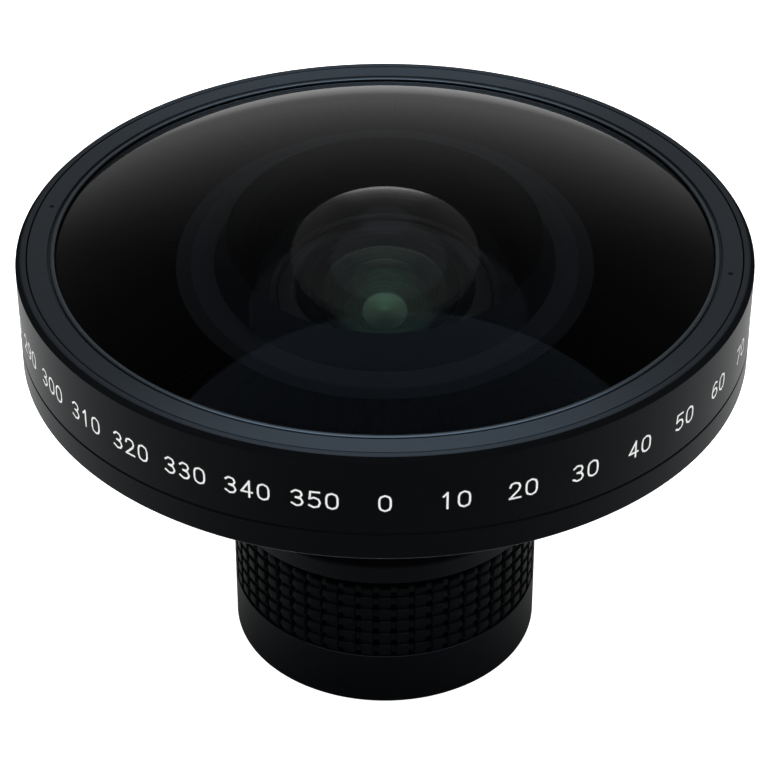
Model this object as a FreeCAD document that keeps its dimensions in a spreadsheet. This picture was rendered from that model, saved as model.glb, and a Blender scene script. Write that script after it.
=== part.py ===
import FreeCAD, Part
import math
import os
import types

import Sketcher

# A panoramic conversion lens. Its origin is the centre of the rear thread's end face, and +Z runs along
# the optical axis to the front glass. Lengths are in millimetres.

SIZES = {
    # Rear thread ring
    "thread_radius": 18.5,
    "thread_length": 3.2,
    "thread_wall": 1.9,
    "thread_edge": 0.4,
    "mount_flange_step": 2.1,
    "mount_flange_thickness": 2.6,
    "spanner_slot_width": 1.6,
    "spanner_slot_depth": 1.0,
    "spanner_slot_reach": 1.1,
    # Grip
    "barrel_radius": 25.05,
    "barrel_height": 24.85,
    "barrel_edge": 0.5,
    "barrel_rim": 0.3,
    "barrel_wall": 2.0,
    "grip_top_land": 2.33,
    "groove_pitch": 2.44,
    "groove_width": 0.85,
    "groove_depth": 0.45,
    "groove_count": 6,
    "flute_width": 1.0,
    "flute_depth": 0.6,
    "flute_count": 54,
    "shoulder_ledge": 1.5,
    "shoulder_thickness": 2.0,
    # Cemented pair in the grip
    "macro_step": 4.5,
    "macro_rear_land": 1.3,
    "macro_rear_curve": 140.0,
    "macro_rear_centre": 1.8,
    "macro_cement_curve": 34.0,
    "macro_front_edge": 1.2,
    "macro_front_curve": 42.0,
    "macro_ring_wall": 1.6,
    "macro_ring_height": 2.5,
    # Neck, collar and trumpet
    "seal_gap": 0.93,
    "seal_width": 1.5,
    "seal_edge": 0.2,
    "spigot_wall": 2.0,
    "spigot_length": 7.48,
    "spigot_edge": 0.4,
    "spigot_end_gap": 0.9,
    "neck_step": 1.3,
    "neck_length": 5.52,
    "collar_wall": 1.9,
    "collar_height": 3.41,
    "collar_edge": 0.25,
    "collar_screw_radius": 0.8,
    "collar_screw_count": 3,
    "collar_screw_socket": 0.4,
    "flange_inset": 3.0,
    "flange_land": 5.2,
    "flange_thickness": 2.2,
    "cone_screw_inset": 2.6,
    "cone_screw_radius": 1.0,
    "cone_screw_head": 1.9,
    "cone_screw_head_depth": 0.9,
    "cone_screw_length": 3.6,
    "cone_screw_count": 6,
    # Light baffle in the neck
    "baffle_wall": 1.5,
    "baffle_fin_reach": 1.9,
    "baffle_fin_thickness": 0.6,
    "baffle_foot": 1.1,
    "baffle_fin_count": 4,
    "baffle_end_gap": 0.8,
    # Third glass and its spacer
    "third_ledge": 1.8,
    "third_step": 3.5,
    "third_edge": 6.2,
    "third_rear_land": 2.8,
    "third_rear_curve": 34.0,
    "third_front_land": 1.8,
    "third_front_curve": 60.0,
    "spacer_height": 1.6,
    # Second glass and its ring
    "second_radius": 19.5,
    "second_edge": 4.0,
    "second_rear_aperture": 13.8,
    "second_rear_curve": 15.5,
    "second_front_curve": 32.0,
    "second_ring_lip": 1.2,
    "second_ring_step": 2.0,
    "second_ring_height": 1.6,
    # Head
    "floor_thickness": 2.0,
    "inner_baffle_wall": 6.0,
    "floor_step_inset": 4.2,
    "floor_step": 1.65,
    "head_radius": 57.2,
    "head_edge": 0.4,
    "lower_band": 4.7,
    "seam_depth": 0.25,
    "seam_width": 0.2,
    "sleeve_height": 13.2,
    "sleeve_wall": 0.78,
    "sleeve_bevel": 0.72,
    "rim_wall": 0.87,
    "ring_thread_depth": 4.55,
    "inner_baffle_gap": 0.5,
    "inner_baffle_bevel": 0.9,
    # Front glass
    "glass_wall": 1.5,
    "glass_curve": 109.0,
    "glass_drop": 0.55,
    "hollow_curve": 28.0,
    "hollow_aperture": 22.0,
    "hollow_bevel_radius": 22.8,
    "hollow_bevel_height": 8.0,
    # Front retaining ring and gasket
    "ring_lip": 2.65,
    "ring_skirt": 3.7,
    "ring_bead_width": 0.5,
    "ring_bead_drop": 0.2,
    "ring_bead_slope": 0.2,
    "ring_groove_width": 0.45,
    "ring_groove_depth": 0.6,
    "ring_foot_land": 0.2,
    "gasket_thickness": 0.2,
    "gasket_inset": 0.3,
    "gasket_gap": 0.15,
    "spanner_hole_inset": 1.75,
    "spanner_hole_radius": 0.4,
    "spanner_hole_depth": 1.2,
    "spanner_hole_turn": -10.5,
    # Clearances
    "fit_clearance": 0.05,
    "running_clearance": 0.05,
    "glass_clearance": 0.15,
    "face_clearance": 0.04,
}

doc = FreeCAD.newDocument("PanoramicLens")
sheet = doc.addObject("Spreadsheet::Sheet", "Dimensions")
for row, (alias, number) in enumerate(SIZES.items(), start=1):
    sheet.set(f"A{row}", str(number))
    sheet.setAlias(f"A{row}", alias)
doc.recompute()


class Size:
    """A length: its number now, and the sheet formula that keeps a feature bound to it."""

    def __init__(self, number, formula):
        self.number = number
        self.formula = formula

    def __add__(self, other):
        return Size(self.number + other.number, f"({self.formula} + {other.formula})")

    def __sub__(self, other):
        return Size(self.number - other.number, f"({self.formula} - {other.formula})")

    def __mul__(self, factor):
        return Size(self.number * factor, f"({self.formula} * {factor})")


def sag(curve, reach):
    """Depth of a spherical surface of radius `curve` out to `reach` from the axis."""
    number = curve.number - math.sqrt(curve.number ** 2 - reach.number ** 2)
    formula = f"({curve.formula} - sqrt(({curve.formula})^2 - ({reach.formula})^2))"
    return Size(number, formula)


ZERO = Size(0.0, "0")
HALF = 0.5
FULL_TURN = 360
dim = types.SimpleNamespace(**{name: Size(value, f"Dimensions.{name}") for name, value in SIZES.items()})

# Radii of the grip and neck, from the outside of the grip inwards.
thread_bore = dim.thread_radius - dim.thread_wall
mount_flange_radius = dim.thread_radius + dim.mount_flange_step
spigot_radius = dim.barrel_radius - dim.barrel_wall - dim.running_clearance
neck_radius = spigot_radius + dim.neck_step
neck_bore = spigot_radius - dim.spigot_wall
collar_radius = neck_radius + dim.collar_wall
macro_radius = spigot_radius - dim.macro_step
macro_rear_aperture = macro_radius - dim.macro_rear_land
macro_ring_bore = macro_radius - dim.macro_ring_wall

# Radii of the two inner glasses.
third_radius = dim.second_radius - dim.third_step
third_rear_aperture = third_radius - dim.third_rear_land
third_front_aperture = third_radius - dim.third_front_land
second_ring_bore = dim.second_radius - dim.second_ring_lip
second_ring_radius = dim.second_radius + dim.second_ring_step
inner_baffle_bore = second_ring_radius + dim.inner_baffle_gap
floor_bore = inner_baffle_bore + dim.inner_baffle_wall

# Radii of the head, from the outside inwards.
housing_radius = dim.head_radius - dim.sleeve_wall - dim.fit_clearance
ring_thread_radius = housing_radius - dim.rim_wall
glass_radius = ring_thread_radius - dim.glass_wall
ring_bore = glass_radius - dim.ring_lip
ring_foot = ring_bore + dim.ring_bead_width + dim.ring_groove_width + dim.ring_foot_land
floor_step_radius = dim.head_radius - dim.floor_step_inset
flange_radius = floor_step_radius - dim.flange_inset
cone_screw_circle = flange_radius - dim.cone_screw_inset
trumpet_radius = flange_radius - neck_radius - dim.flange_land

# Heights of the main seats above the origin.
barrel_seat = dim.thread_length
macro_seat = barrel_seat + dim.mount_flange_thickness + dim.shoulder_thickness
barrel_top = barrel_seat + dim.barrel_height
collar_seat = barrel_top + dim.seal_gap
spigot_end = collar_seat - dim.spigot_length
trumpet_start = collar_seat + dim.neck_length
flange_seat = trumpet_start + trumpet_radius
floor_seat = flange_seat + dim.flange_thickness
glass_seat = floor_seat + dim.floor_thickness
sleeve_seat = floor_seat + dim.floor_step + dim.lower_band
head_top = sleeve_seat + dim.sleeve_height
second_ring_top = floor_seat - dim.face_clearance
second_seat = (floor_seat - dim.second_ring_height - dim.face_clearance
               - (sag(dim.second_front_curve, dim.second_radius)
                  - sag(dim.second_front_curve, second_ring_bore))
               - dim.face_clearance - dim.second_edge)
third_seat = second_seat - dim.spacer_height - dim.third_edge
cone_ledge = third_seat - dim.third_ledge
socket_depth = dim.spigot_length - dim.seal_gap + dim.spigot_end_gap


def origin_feature(body, role):
    """The body's own origin plane or axis of this role."""
    return next(item for item in body.Origin.OriginFeatures if item.Role == role)


def new_body(label, seat):
    """An empty body that stands at the height `seat`."""
    body = doc.addObject("PartDesign::Body", label)
    body.Label = label
    body.setExpression("Placement.Base.z", seat.formula)
    return body


def bind_point(sketch, geometry, position, x, y=None):
    """Fix a sketch point to the sizes x and y; y may be left free."""
    for kind, axis, size in (("DistanceX", -2, x), ("DistanceY", -1, y)):
        if size is None:
            continue
        if size is ZERO:
            sketch.addConstraint(Sketcher.Constraint("PointOnObject", geometry, position, axis))
            continue
        index = sketch.addConstraint(
            Sketcher.Constraint(kind, -1, 1, geometry, position, size.number))
        sketch.setExpression(f"Constraints[{index}]", size.formula)


def vector(point):
    return FreeCAD.Vector(point[0].number, point[1].number, 0)


def add_arc(sketch, start, end, centre):
    """The shorter arc between two corners; returns which of its ends lies on each."""
    middle = vector(centre)
    to_start = vector(start) - middle
    to_end = vector(end) - middle
    start_angle = math.atan2(to_start.y, to_start.x)
    end_angle = math.atan2(to_end.y, to_end.x)
    circle = Part.Circle(middle, FreeCAD.Vector(0, 0, 1), to_start.Length)
    forward = (end_angle - start_angle) % (2 * math.pi) <= math.pi
    if forward:
        sketch.addGeometry(Part.ArcOfCircle(circle, start_angle, end_angle))
        return 1, 2
    sketch.addGeometry(Part.ArcOfCircle(circle, end_angle, start_angle))
    return 2, 1


def new_sketch(body, name, plane, lift=None):
    """A sketch on one of the body's origin planes, moved along its normal by `lift`."""
    sketch = body.newObject("Sketcher::SketchObject", name)
    sketch.AttachmentSupport = [(origin_feature(body, plane), "")]
    sketch.MapMode = "FlatFace"
    if lift is not None:
        sketch.setExpression("AttachmentOffset.Base.z", lift.formula)
    return sketch


def draw_outline(sketch, corners):
    """Closed outline. A corner is (x, y), or (x, y, centre) where the edge that leaves it is an arc."""
    ends = []
    for index, corner in enumerate(corners):
        following = corners[(index + 1) % len(corners)]
        if len(corner) == 3:
            ends.append(add_arc(sketch, corner, following, corner[2]))
        else:
            sketch.addGeometry(Part.LineSegment(vector(corner), vector(following)))
            ends.append((1, 2))
    for index, corner in enumerate(corners):
        following = (index + 1) % len(corners)
        sketch.addConstraint(
            Sketcher.Constraint("Coincident", index, ends[index][1], following, ends[following][0]))
        bind_point(sketch, index, ends[index][0], corner[0], corner[1])
        if len(corner) == 3:
            bind_point(sketch, index, 3, corner[2][0])


def draw_circle(sketch, x, y, radius):
    """A bound circle."""
    centre = FreeCAD.Vector(x.number, y.number, 0)
    geometry = sketch.addGeometry(Part.Circle(centre, FreeCAD.Vector(0, 0, 1), radius.number))
    bind_point(sketch, geometry, 3, x, y)
    index = sketch.addConstraint(Sketcher.Constraint("Radius", geometry, radius.number))
    sketch.setExpression(f"Constraints[{index}]", radius.formula)


def draw_axis(sketch, x, reach):
    """An upright construction line at x, for turning about."""
    start = (x, ZERO)
    end = (x, reach)
    geometry = sketch.addGeometry(Part.LineSegment(vector(start), vector(end)), True)
    bind_point(sketch, geometry, 1, *start)
    bind_point(sketch, geometry, 2, *end)


def revolve(body, kind, sketch, axis="V_Axis"):
    """A full turn of the sketch: PartDesign::Revolution adds, PartDesign::Groove cuts."""
    feature = body.newObject(kind, f"{sketch.Name}_turned")
    feature.Profile = sketch
    feature.ReferenceAxis = (sketch, [axis])
    feature.Angle = FULL_TURN
    body.Tip = feature
    return feature


def cut_pocket(body, sketch, depth, backwards=False):
    """A pocket of this depth from the sketch."""
    feature = body.newObject("PartDesign::Pocket", f"{sketch.Name}_pocket")
    feature.Profile = sketch
    feature.Reversed = backwards
    feature.setExpression("Length", depth.formula)
    body.Tip = feature
    return feature


def around(body, feature, count):
    """Repeat a feature evenly about the optical axis."""
    pattern = body.newObject("PartDesign::PolarPattern", f"{feature.Name}_around")
    pattern.Originals = [feature]
    pattern.Axis = (origin_feature(body, "Z_Axis"), [""])
    pattern.Angle = FULL_TURN
    pattern.setExpression("Occurrences", count.formula)
    body.Tip = pattern
    return pattern


def turned_piece(label, seat, corners):
    """A lathe-turned piece: its half section, turned about the optical axis."""
    body = new_body(label, seat)
    sketch = new_sketch(body, f"{label}_section", "XZ_Plane")
    draw_outline(sketch, corners)
    revolve(body, "PartDesign::Revolution", sketch)
    return body


def ring_corners(inner, outer, height):
    return [(inner, ZERO), (outer, ZERO), (outer, height), (inner, height)]


def rear_mount_ring():
    """Male thread for the camera, with a flange that seats in the grip."""
    flange_top = dim.thread_length + dim.mount_flange_thickness
    body = turned_piece("rear_mount_ring", ZERO, [
        (thread_bore, ZERO),
        (dim.thread_radius - dim.thread_edge, ZERO),
        (dim.thread_radius, dim.thread_edge),
        (dim.thread_radius, dim.thread_length),
        (mount_flange_radius, dim.thread_length),
        (mount_flange_radius, flange_top),
        (thread_bore, flange_top),
    ])
    slot = new_sketch(body, "spanner_slot", "XY_Plane")
    half = dim.spanner_slot_width * HALF
    low = thread_bore - dim.spanner_slot_reach
    high = thread_bore + dim.spanner_slot_reach
    draw_outline(slot, [(low, half * -1), (high, half * -1), (high, half), (low, half)])
    pocket = cut_pocket(body, slot, dim.spanner_slot_depth, backwards=True)
    around(body, pocket, Size(2, "2"))


def rear_barrel():
    """The grip: turned grooves round it, crossed by milled flutes that leave raised pads."""
    shoulder = dim.mount_flange_thickness + dim.shoulder_thickness
    socket_floor = dim.barrel_height - socket_depth
    flange_bore = mount_flange_radius + dim.fit_clearance
    lens_bore = macro_radius + dim.fit_clearance
    shoulder_bore = macro_radius - dim.shoulder_ledge
    socket = spigot_radius + dim.running_clearance
    body = turned_piece("rear_barrel", barrel_seat, [
        (flange_bore, ZERO),
        (dim.barrel_radius - dim.barrel_edge, ZERO),
        (dim.barrel_radius, dim.barrel_edge),
        (dim.barrel_radius, dim.barrel_height - dim.barrel_rim),
        (dim.barrel_radius - dim.barrel_rim, dim.barrel_height),
        (socket, dim.barrel_height),
        (socket, socket_floor),
        (lens_bore, socket_floor),
        (lens_bore, shoulder),
        (shoulder_bore, shoulder),
        (shoulder_bore, dim.mount_flange_thickness),
        (flange_bore, dim.mount_flange_thickness),
    ])
    half_width = dim.groove_width * HALF
    rows_height = dim.groove_pitch * (SIZES["groove_count"] - 1)
    first_groove = dim.barrel_height - dim.grip_top_land - rows_height
    low = first_groove - half_width
    high = first_groove + half_width
    floor = dim.barrel_radius - dim.groove_depth
    outside = dim.barrel_radius + dim.groove_depth
    groove_sketch = new_sketch(body, "grip_groove", "XZ_Plane")
    draw_outline(groove_sketch, [(floor, low), (outside, low), (outside, high), (floor, high)])
    groove = revolve(body, "PartDesign::Groove", groove_sketch)
    rows = body.newObject("PartDesign::LinearPattern", "grip_grooves")
    rows.Originals = [groove]
    rows.Direction = (origin_feature(body, "Z_Axis"), [""])
    rows.setExpression("Length", rows_height.formula)
    rows.setExpression("Occurrences", dim.groove_count.formula)
    body.Tip = rows
    half_flute = dim.flute_width * HALF
    flute_floor = dim.barrel_radius - dim.flute_depth
    flute_outside = dim.barrel_radius + dim.flute_depth
    flute_sketch = new_sketch(body, "grip_flute", "XY_Plane", lift=low)
    draw_outline(flute_sketch, [
        (flute_floor, half_flute * -1),
        (flute_outside, half_flute * -1),
        (flute_outside, half_flute),
        (flute_floor, half_flute),
    ])
    flute = cut_pocket(body, flute_sketch, dim.barrel_height - low, backwards=True)
    around(body, flute, dim.flute_count)


# The cemented pair's surfaces, above the shoulder in the grip.
macro_rear_vertex = sag(dim.macro_rear_curve, macro_rear_aperture)
cement_vertex = macro_rear_vertex + dim.macro_rear_centre
cement_edge = cement_vertex + sag(dim.macro_cement_curve, macro_radius)
cement_centre = (ZERO, cement_vertex + dim.macro_cement_curve)
macro_front_edge = cement_edge + dim.macro_front_edge
macro_front_vertex = macro_front_edge + sag(dim.macro_front_curve, macro_radius)


def macro_rear_element():
    """Negative half of the cemented pair, with a flat edge on the shoulder."""
    turned_piece("macro_rear_element", macro_seat, [
        (ZERO, macro_rear_vertex, (ZERO, macro_rear_vertex - dim.macro_rear_curve)),
        (macro_rear_aperture, ZERO),
        (macro_radius, ZERO),
        (macro_radius, cement_edge, cement_centre),
        (ZERO, cement_vertex),
    ])


def macro_front_element():
    """Positive half of the cemented pair."""
    turned_piece("macro_front_element", macro_seat, [
        (ZERO, cement_vertex, cement_centre),
        (macro_radius, cement_edge),
        (macro_radius, macro_front_edge, (ZERO, macro_front_vertex - dim.macro_front_curve)),
        (ZERO, macro_front_vertex),
    ])


def macro_retaining_ring():
    """Threaded ring that holds the cemented pair down."""
    contact = macro_front_vertex - sag(dim.macro_front_curve, macro_ring_bore)
    seat = macro_seat + contact + dim.face_clearance
    turned_piece("macro_retaining_ring", seat,
                 ring_corners(macro_ring_bore, macro_radius, dim.macro_ring_height))


def neck_seal():
    """Rubber ring between the collar and the grip, round the spigot."""
    height = dim.seal_gap - dim.face_clearance * 2
    inner = spigot_radius + dim.running_clearance
    outer = inner + dim.seal_width
    edge = dim.seal_edge
    turned_piece("neck_seal", barrel_top + dim.face_clearance, [
        (inner, ZERO),
        (outer - edge, ZERO),
        (outer, edge),
        (outer, height - edge),
        (outer - edge, height),
        (inner, height),
    ])


def screw_outline(clearance):
    """Half section of a countersunk screw that points up, and of its hole with a clearance."""
    circle = cone_screw_circle
    head = circle + dim.cone_screw_head + clearance
    shank = circle + dim.cone_screw_radius + clearance
    return [
        (circle, ZERO),
        (head, ZERO),
        (shank, dim.cone_screw_head_depth),
        (shank, dim.cone_screw_length),
        (circle, dim.cone_screw_length),
    ]


def cut_screw_holes(body, name, lift):
    """Holes for the cone screws; `lift` is the height of the screw heads' face in this body."""
    sketch = new_sketch(body, name, "XZ_Plane")
    corners = [(x, y + lift) for x, y in screw_outline(dim.fit_clearance)]
    draw_outline(sketch, corners)
    draw_axis(sketch, cone_screw_circle, dim.cone_screw_length)
    groove = revolve(body, "PartDesign::Groove", sketch, axis="Axis0")
    around(body, groove, dim.cone_screw_count)


def rear_cone():
    """Trumpet housing: spigot thread, neck, bores for two glasses, and the flange under the head."""
    collar_face = dim.spigot_length
    curve_start = trumpet_start - spigot_end
    flange_bottom = flange_seat - spigot_end
    top = floor_seat - spigot_end
    ledge = cone_ledge - spigot_end
    third_floor = third_seat - spigot_end
    second_floor = second_seat - spigot_end
    second_top = second_floor + dim.second_edge
    trumpet_end = neck_radius + trumpet_radius
    third_bore = third_radius + dim.fit_clearance
    second_bore = dim.second_radius + dim.fit_clearance
    ring_bore = second_ring_radius + dim.fit_clearance
    body = turned_piece("rear_cone", spigot_end, [
        (neck_bore, ZERO),
        (spigot_radius - dim.spigot_edge, ZERO),
        (spigot_radius, dim.spigot_edge),
        (spigot_radius, collar_face),
        (neck_radius, collar_face),
        (neck_radius, curve_start, (trumpet_end, curve_start)),
        (trumpet_end, flange_bottom),
        (flange_radius, flange_bottom),
        (flange_radius, top),
        (ring_bore, top),
        (ring_bore, second_top),
        (second_bore, second_top),
        (second_bore, second_floor),
        (third_bore, second_floor),
        (third_bore, third_floor),
        (third_rear_aperture, third_floor),
        (third_rear_aperture, ledge),
        (neck_bore, ledge),
    ])
    cut_screw_holes(body, "cone_screw_hole", flange_bottom)


def cone_screws():
    """Countersunk screws that hold the trumpet's flange to the head."""
    body = new_body("cone_screws", flange_seat)
    sketch = new_sketch(body, "cone_screw", "XZ_Plane")
    draw_outline(sketch, screw_outline(ZERO))
    draw_axis(sketch, cone_screw_circle, dim.cone_screw_length)
    screw = revolve(body, "PartDesign::Revolution", sketch, axis="Axis0")
    around(body, screw, dim.cone_screw_count)


def neck_collar():
    """Smooth ring round the neck, drilled for its grub screws."""
    edge = dim.collar_edge
    inner = neck_radius + dim.fit_clearance
    body = turned_piece("neck_collar", collar_seat, [
        (inner, ZERO),
        (collar_radius - edge, ZERO),
        (collar_radius, edge),
        (collar_radius, dim.collar_height - edge),
        (collar_radius - edge, dim.collar_height),
        (inner, dim.collar_height),
    ])
    sketch = new_sketch(body, "collar_screw_hole", "XZ_Plane")
    draw_circle(sketch, ZERO, dim.collar_height * HALF, dim.collar_screw_radius + dim.fit_clearance)
    hole = cut_pocket(body, sketch, collar_radius)
    around(body, hole, dim.collar_screw_count)


def collar_screws():
    """Grub screws that lock the collar to the neck."""
    body = new_body("collar_screws", collar_seat)
    height = dim.collar_height * HALF
    inner_face = neck_radius + dim.fit_clearance
    outer_face = collar_radius - dim.collar_screw_socket
    sketch = new_sketch(body, "collar_screw", "XZ_Plane", lift=outer_face * -1)
    draw_circle(sketch, ZERO, height, dim.collar_screw_radius)
    pad = body.newObject("PartDesign::Pad", "collar_screw_pad")
    pad.Profile = sketch
    pad.setExpression("Length", (outer_face - inner_face).formula)
    body.Tip = pad
    around(body, pad, dim.collar_screw_count)


def light_baffle():
    """Blackened tube in the neck with fins that stop stray light."""
    outer = neck_bore - dim.fit_clearance
    wall = outer - dim.baffle_wall
    fin = wall - dim.baffle_fin_reach
    start = spigot_end + dim.baffle_end_gap
    height = cone_ledge - dim.face_clearance - start
    fin_count = SIZES["baffle_fin_count"]
    fin_pitch = (height - dim.baffle_foot) * (1 / fin_count)
    corners = [(outer, ZERO), (outer, height)]
    fin_top = height
    for _ in range(fin_count):
        fin_bottom = fin_top - dim.baffle_fin_thickness
        next_top = fin_top - fin_pitch
        corners += [(fin, fin_top), (fin, fin_bottom), (wall, fin_bottom), (wall, next_top)]
        fin_top = next_top
    corners[-1] = (wall, ZERO)
    turned_piece("light_baffle", start, corners)


def third_element():
    """Negative glass, hollow on both sides."""
    rear_vertex = sag(dim.third_rear_curve, third_rear_aperture)
    front_vertex = dim.third_edge - sag(dim.third_front_curve, third_front_aperture)
    turned_piece("third_element", third_seat, [
        (ZERO, rear_vertex, (ZERO, rear_vertex - dim.third_rear_curve)),
        (third_rear_aperture, ZERO),
        (third_radius, ZERO),
        (third_radius, dim.third_edge),
        (third_front_aperture, dim.third_edge, (ZERO, front_vertex + dim.third_front_curve)),
        (ZERO, front_vertex),
    ])


def element_spacer():
    """Ring between the third and second glass."""
    turned_piece("element_spacer", third_seat + dim.third_edge,
                 ring_corners(third_front_aperture, third_radius, dim.spacer_height))


def second_element():
    """Negative meniscus whose dome stands in the front glass's hollow."""
    rear_vertex = sag(dim.second_rear_curve, dim.second_rear_aperture)
    front_vertex = dim.second_edge + sag(dim.second_front_curve, dim.second_radius)
    turned_piece("second_element", second_seat, [
        (ZERO, rear_vertex, (ZERO, rear_vertex - dim.second_rear_curve)),
        (dim.second_rear_aperture, ZERO),
        (dim.second_radius, ZERO),
        (dim.second_radius, dim.second_edge, (ZERO, front_vertex - dim.second_front_curve)),
        (ZERO, front_vertex),
    ])


def second_retaining_ring():
    """Threaded ring that holds the second glass."""
    turned_piece("second_retaining_ring", second_ring_top - dim.second_ring_height,
                 ring_corners(second_ring_bore, second_ring_radius, dim.second_ring_height))


def inner_baffle():
    """Black ring that masks the front glass's flat back."""
    outer = floor_bore - dim.fit_clearance
    height = dim.floor_thickness - dim.face_clearance
    bevel = dim.inner_baffle_bevel
    turned_piece("inner_baffle", floor_seat, [
        (inner_baffle_bore, ZERO),
        (outer, ZERO),
        (outer, height),
        (inner_baffle_bore + bevel, height),
        (inner_baffle_bore, height - bevel),
    ])


def front_housing():
    """Cup that holds the front glass: stepped floor, lower band, and a wall threaded inside."""
    rim_bottom = dim.floor_step
    seam = dim.floor_step + dim.lower_band
    top = seam + dim.sleeve_height
    glass_bore = glass_radius + dim.glass_clearance
    thread_floor = top - dim.ring_thread_depth
    body = turned_piece("front_housing", floor_seat, [
        (floor_bore, ZERO),
        (floor_step_radius, ZERO),
        (floor_step_radius, rim_bottom),
        (dim.head_radius - dim.head_edge, rim_bottom),
        (dim.head_radius, rim_bottom + dim.head_edge),
        (dim.head_radius, seam - dim.seam_width),
        (dim.head_radius - dim.seam_depth, seam),
        (housing_radius, seam),
        (housing_radius, top),
        (ring_thread_radius, top),
        (ring_thread_radius, thread_floor),
        (glass_bore, thread_floor),
        (glass_bore, dim.floor_thickness),
        (floor_bore, dim.floor_thickness),
    ])
    cut_screw_holes(body, "housing_screw_hole", flange_seat - floor_seat)


def head_sleeve():
    """Thin sleeve round the cup, bevelled at the front."""
    inner = dim.head_radius - dim.sleeve_wall
    turned_piece("head_sleeve", sleeve_seat, [
        (inner, ZERO),
        (dim.head_radius - dim.seam_depth, ZERO),
        (dim.head_radius, dim.seam_width),
        (dim.head_radius, dim.sleeve_height - dim.sleeve_bevel),
        (dim.head_radius - dim.sleeve_bevel, dim.sleeve_height),
        (inner, dim.sleeve_height),
    ])


# The front glass, above its seat on the floor of the cup.
glass_vertex = head_top - dim.glass_drop - glass_seat + sag(dim.glass_curve, ring_bore)
glass_edge = glass_vertex - sag(dim.glass_curve, glass_radius)
glass_centre = (ZERO, glass_vertex - dim.glass_curve)


def front_element():
    """Thick negative meniscus: gentle dome in front, deep hollow behind with a bevelled mouth."""
    hollow_vertex = dim.hollow_bevel_height + sag(dim.hollow_curve, dim.hollow_aperture)
    turned_piece("front_element", glass_seat, [
        (ZERO, hollow_vertex, (ZERO, hollow_vertex - dim.hollow_curve)),
        (dim.hollow_aperture, dim.hollow_bevel_height),
        (dim.hollow_bevel_radius, ZERO),
        (glass_radius, ZERO),
        (glass_radius, glass_edge, glass_centre),
        (ZERO, glass_vertex),
    ])


def glass_height(reach):
    """Height of the front glass's dome above its seat at this distance from the axis."""
    return glass_vertex - sag(dim.glass_curve, reach)


def front_gasket():
    """Soft washer on the shoulder of the dome, under the retaining ring and outside its foot."""
    inner = ring_foot + dim.gasket_gap
    outer = glass_radius - dim.gasket_inset
    low_edge = glass_height(outer) + dim.face_clearance
    drop = glass_height(inner) - glass_height(outer)
    turned_piece("front_gasket", glass_seat + low_edge, [
        (outer, ZERO),
        (outer, dim.gasket_thickness),
        (inner, drop + dim.gasket_thickness),
        (inner, drop),
    ])


def front_retaining_ring():
    """Threaded ring over the glass: flat face, turned groove, inner bead, foot and two spanner holes."""
    outer = ring_thread_radius - dim.glass_clearance
    skirt = glass_radius + dim.glass_clearance
    seat = head_top - dim.ring_skirt - dim.gasket_thickness - dim.face_clearance
    top = head_top - seat
    on_glass = glass_seat - seat + dim.face_clearance
    above_gasket = on_glass + dim.gasket_thickness + dim.face_clearance
    groove_inner = ring_bore + dim.ring_bead_width
    groove_outer = groove_inner + dim.ring_groove_width
    groove_floor = top - dim.ring_groove_depth
    bead_top = top - dim.ring_bead_drop
    body = turned_piece("front_retaining_ring", seat, [
        (skirt, ZERO),
        (outer, ZERO),
        (outer, top),
        (groove_outer, top),
        (groove_outer, groove_floor),
        (groove_inner, groove_floor),
        (groove_inner, bead_top),
        (ring_bore, bead_top - dim.ring_bead_slope),
        (ring_bore, on_glass + glass_height(ring_bore)),
        (ring_foot, on_glass + glass_height(ring_foot)),
        (ring_foot, above_gasket + glass_height(ring_foot)),
        (skirt, above_gasket + glass_height(glass_radius)),
    ])
    body.Placement.Rotation = FreeCAD.Rotation(FreeCAD.Vector(0, 0, 1), SIZES["spanner_hole_turn"])
    body.setExpression("Placement.Rotation.Angle", dim.spanner_hole_turn.formula)
    sketch = new_sketch(body, "spanner_hole", "XY_Plane", lift=top)
    draw_circle(sketch, outer - dim.spanner_hole_inset, ZERO, dim.spanner_hole_radius)
    hole = cut_pocket(body, sketch, dim.spanner_hole_depth)
    around(body, hole, Size(2, "2"))


PIECES = (
    rear_mount_ring, rear_barrel, macro_rear_element, macro_front_element, macro_retaining_ring,
    neck_seal, rear_cone, cone_screws, neck_collar, collar_screws, light_baffle,
    third_element, element_spacer, second_element, second_retaining_ring, inner_baffle,
    front_housing, head_sleeve, front_element, front_gasket, front_retaining_ring,
)
for piece in PIECES:
    piece()
doc.recompute()

failed = [item.Label for item in doc.Objects if "Invalid" in item.State or "Error" in item.State]
if failed:
    raise RuntimeError("failed objects: " + ", ".join(failed))

bodies = [item for item in doc.Objects if item.TypeId == "PartDesign::Body"]
for body in bodies:
    if body.Shape.isNull() or not body.Shape.isValid():
        raise RuntimeError("bad shape: " + body.Label)

os.makedirs("parts", exist_ok=True)
for body in bodies:
    body.Shape.exportStep(f"parts/{body.Label}.step")
    print(body.Label, len(body.Shape.Solids), "solids", round(body.Shape.Volume, 2), "mm3")
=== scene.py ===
import math

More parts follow.
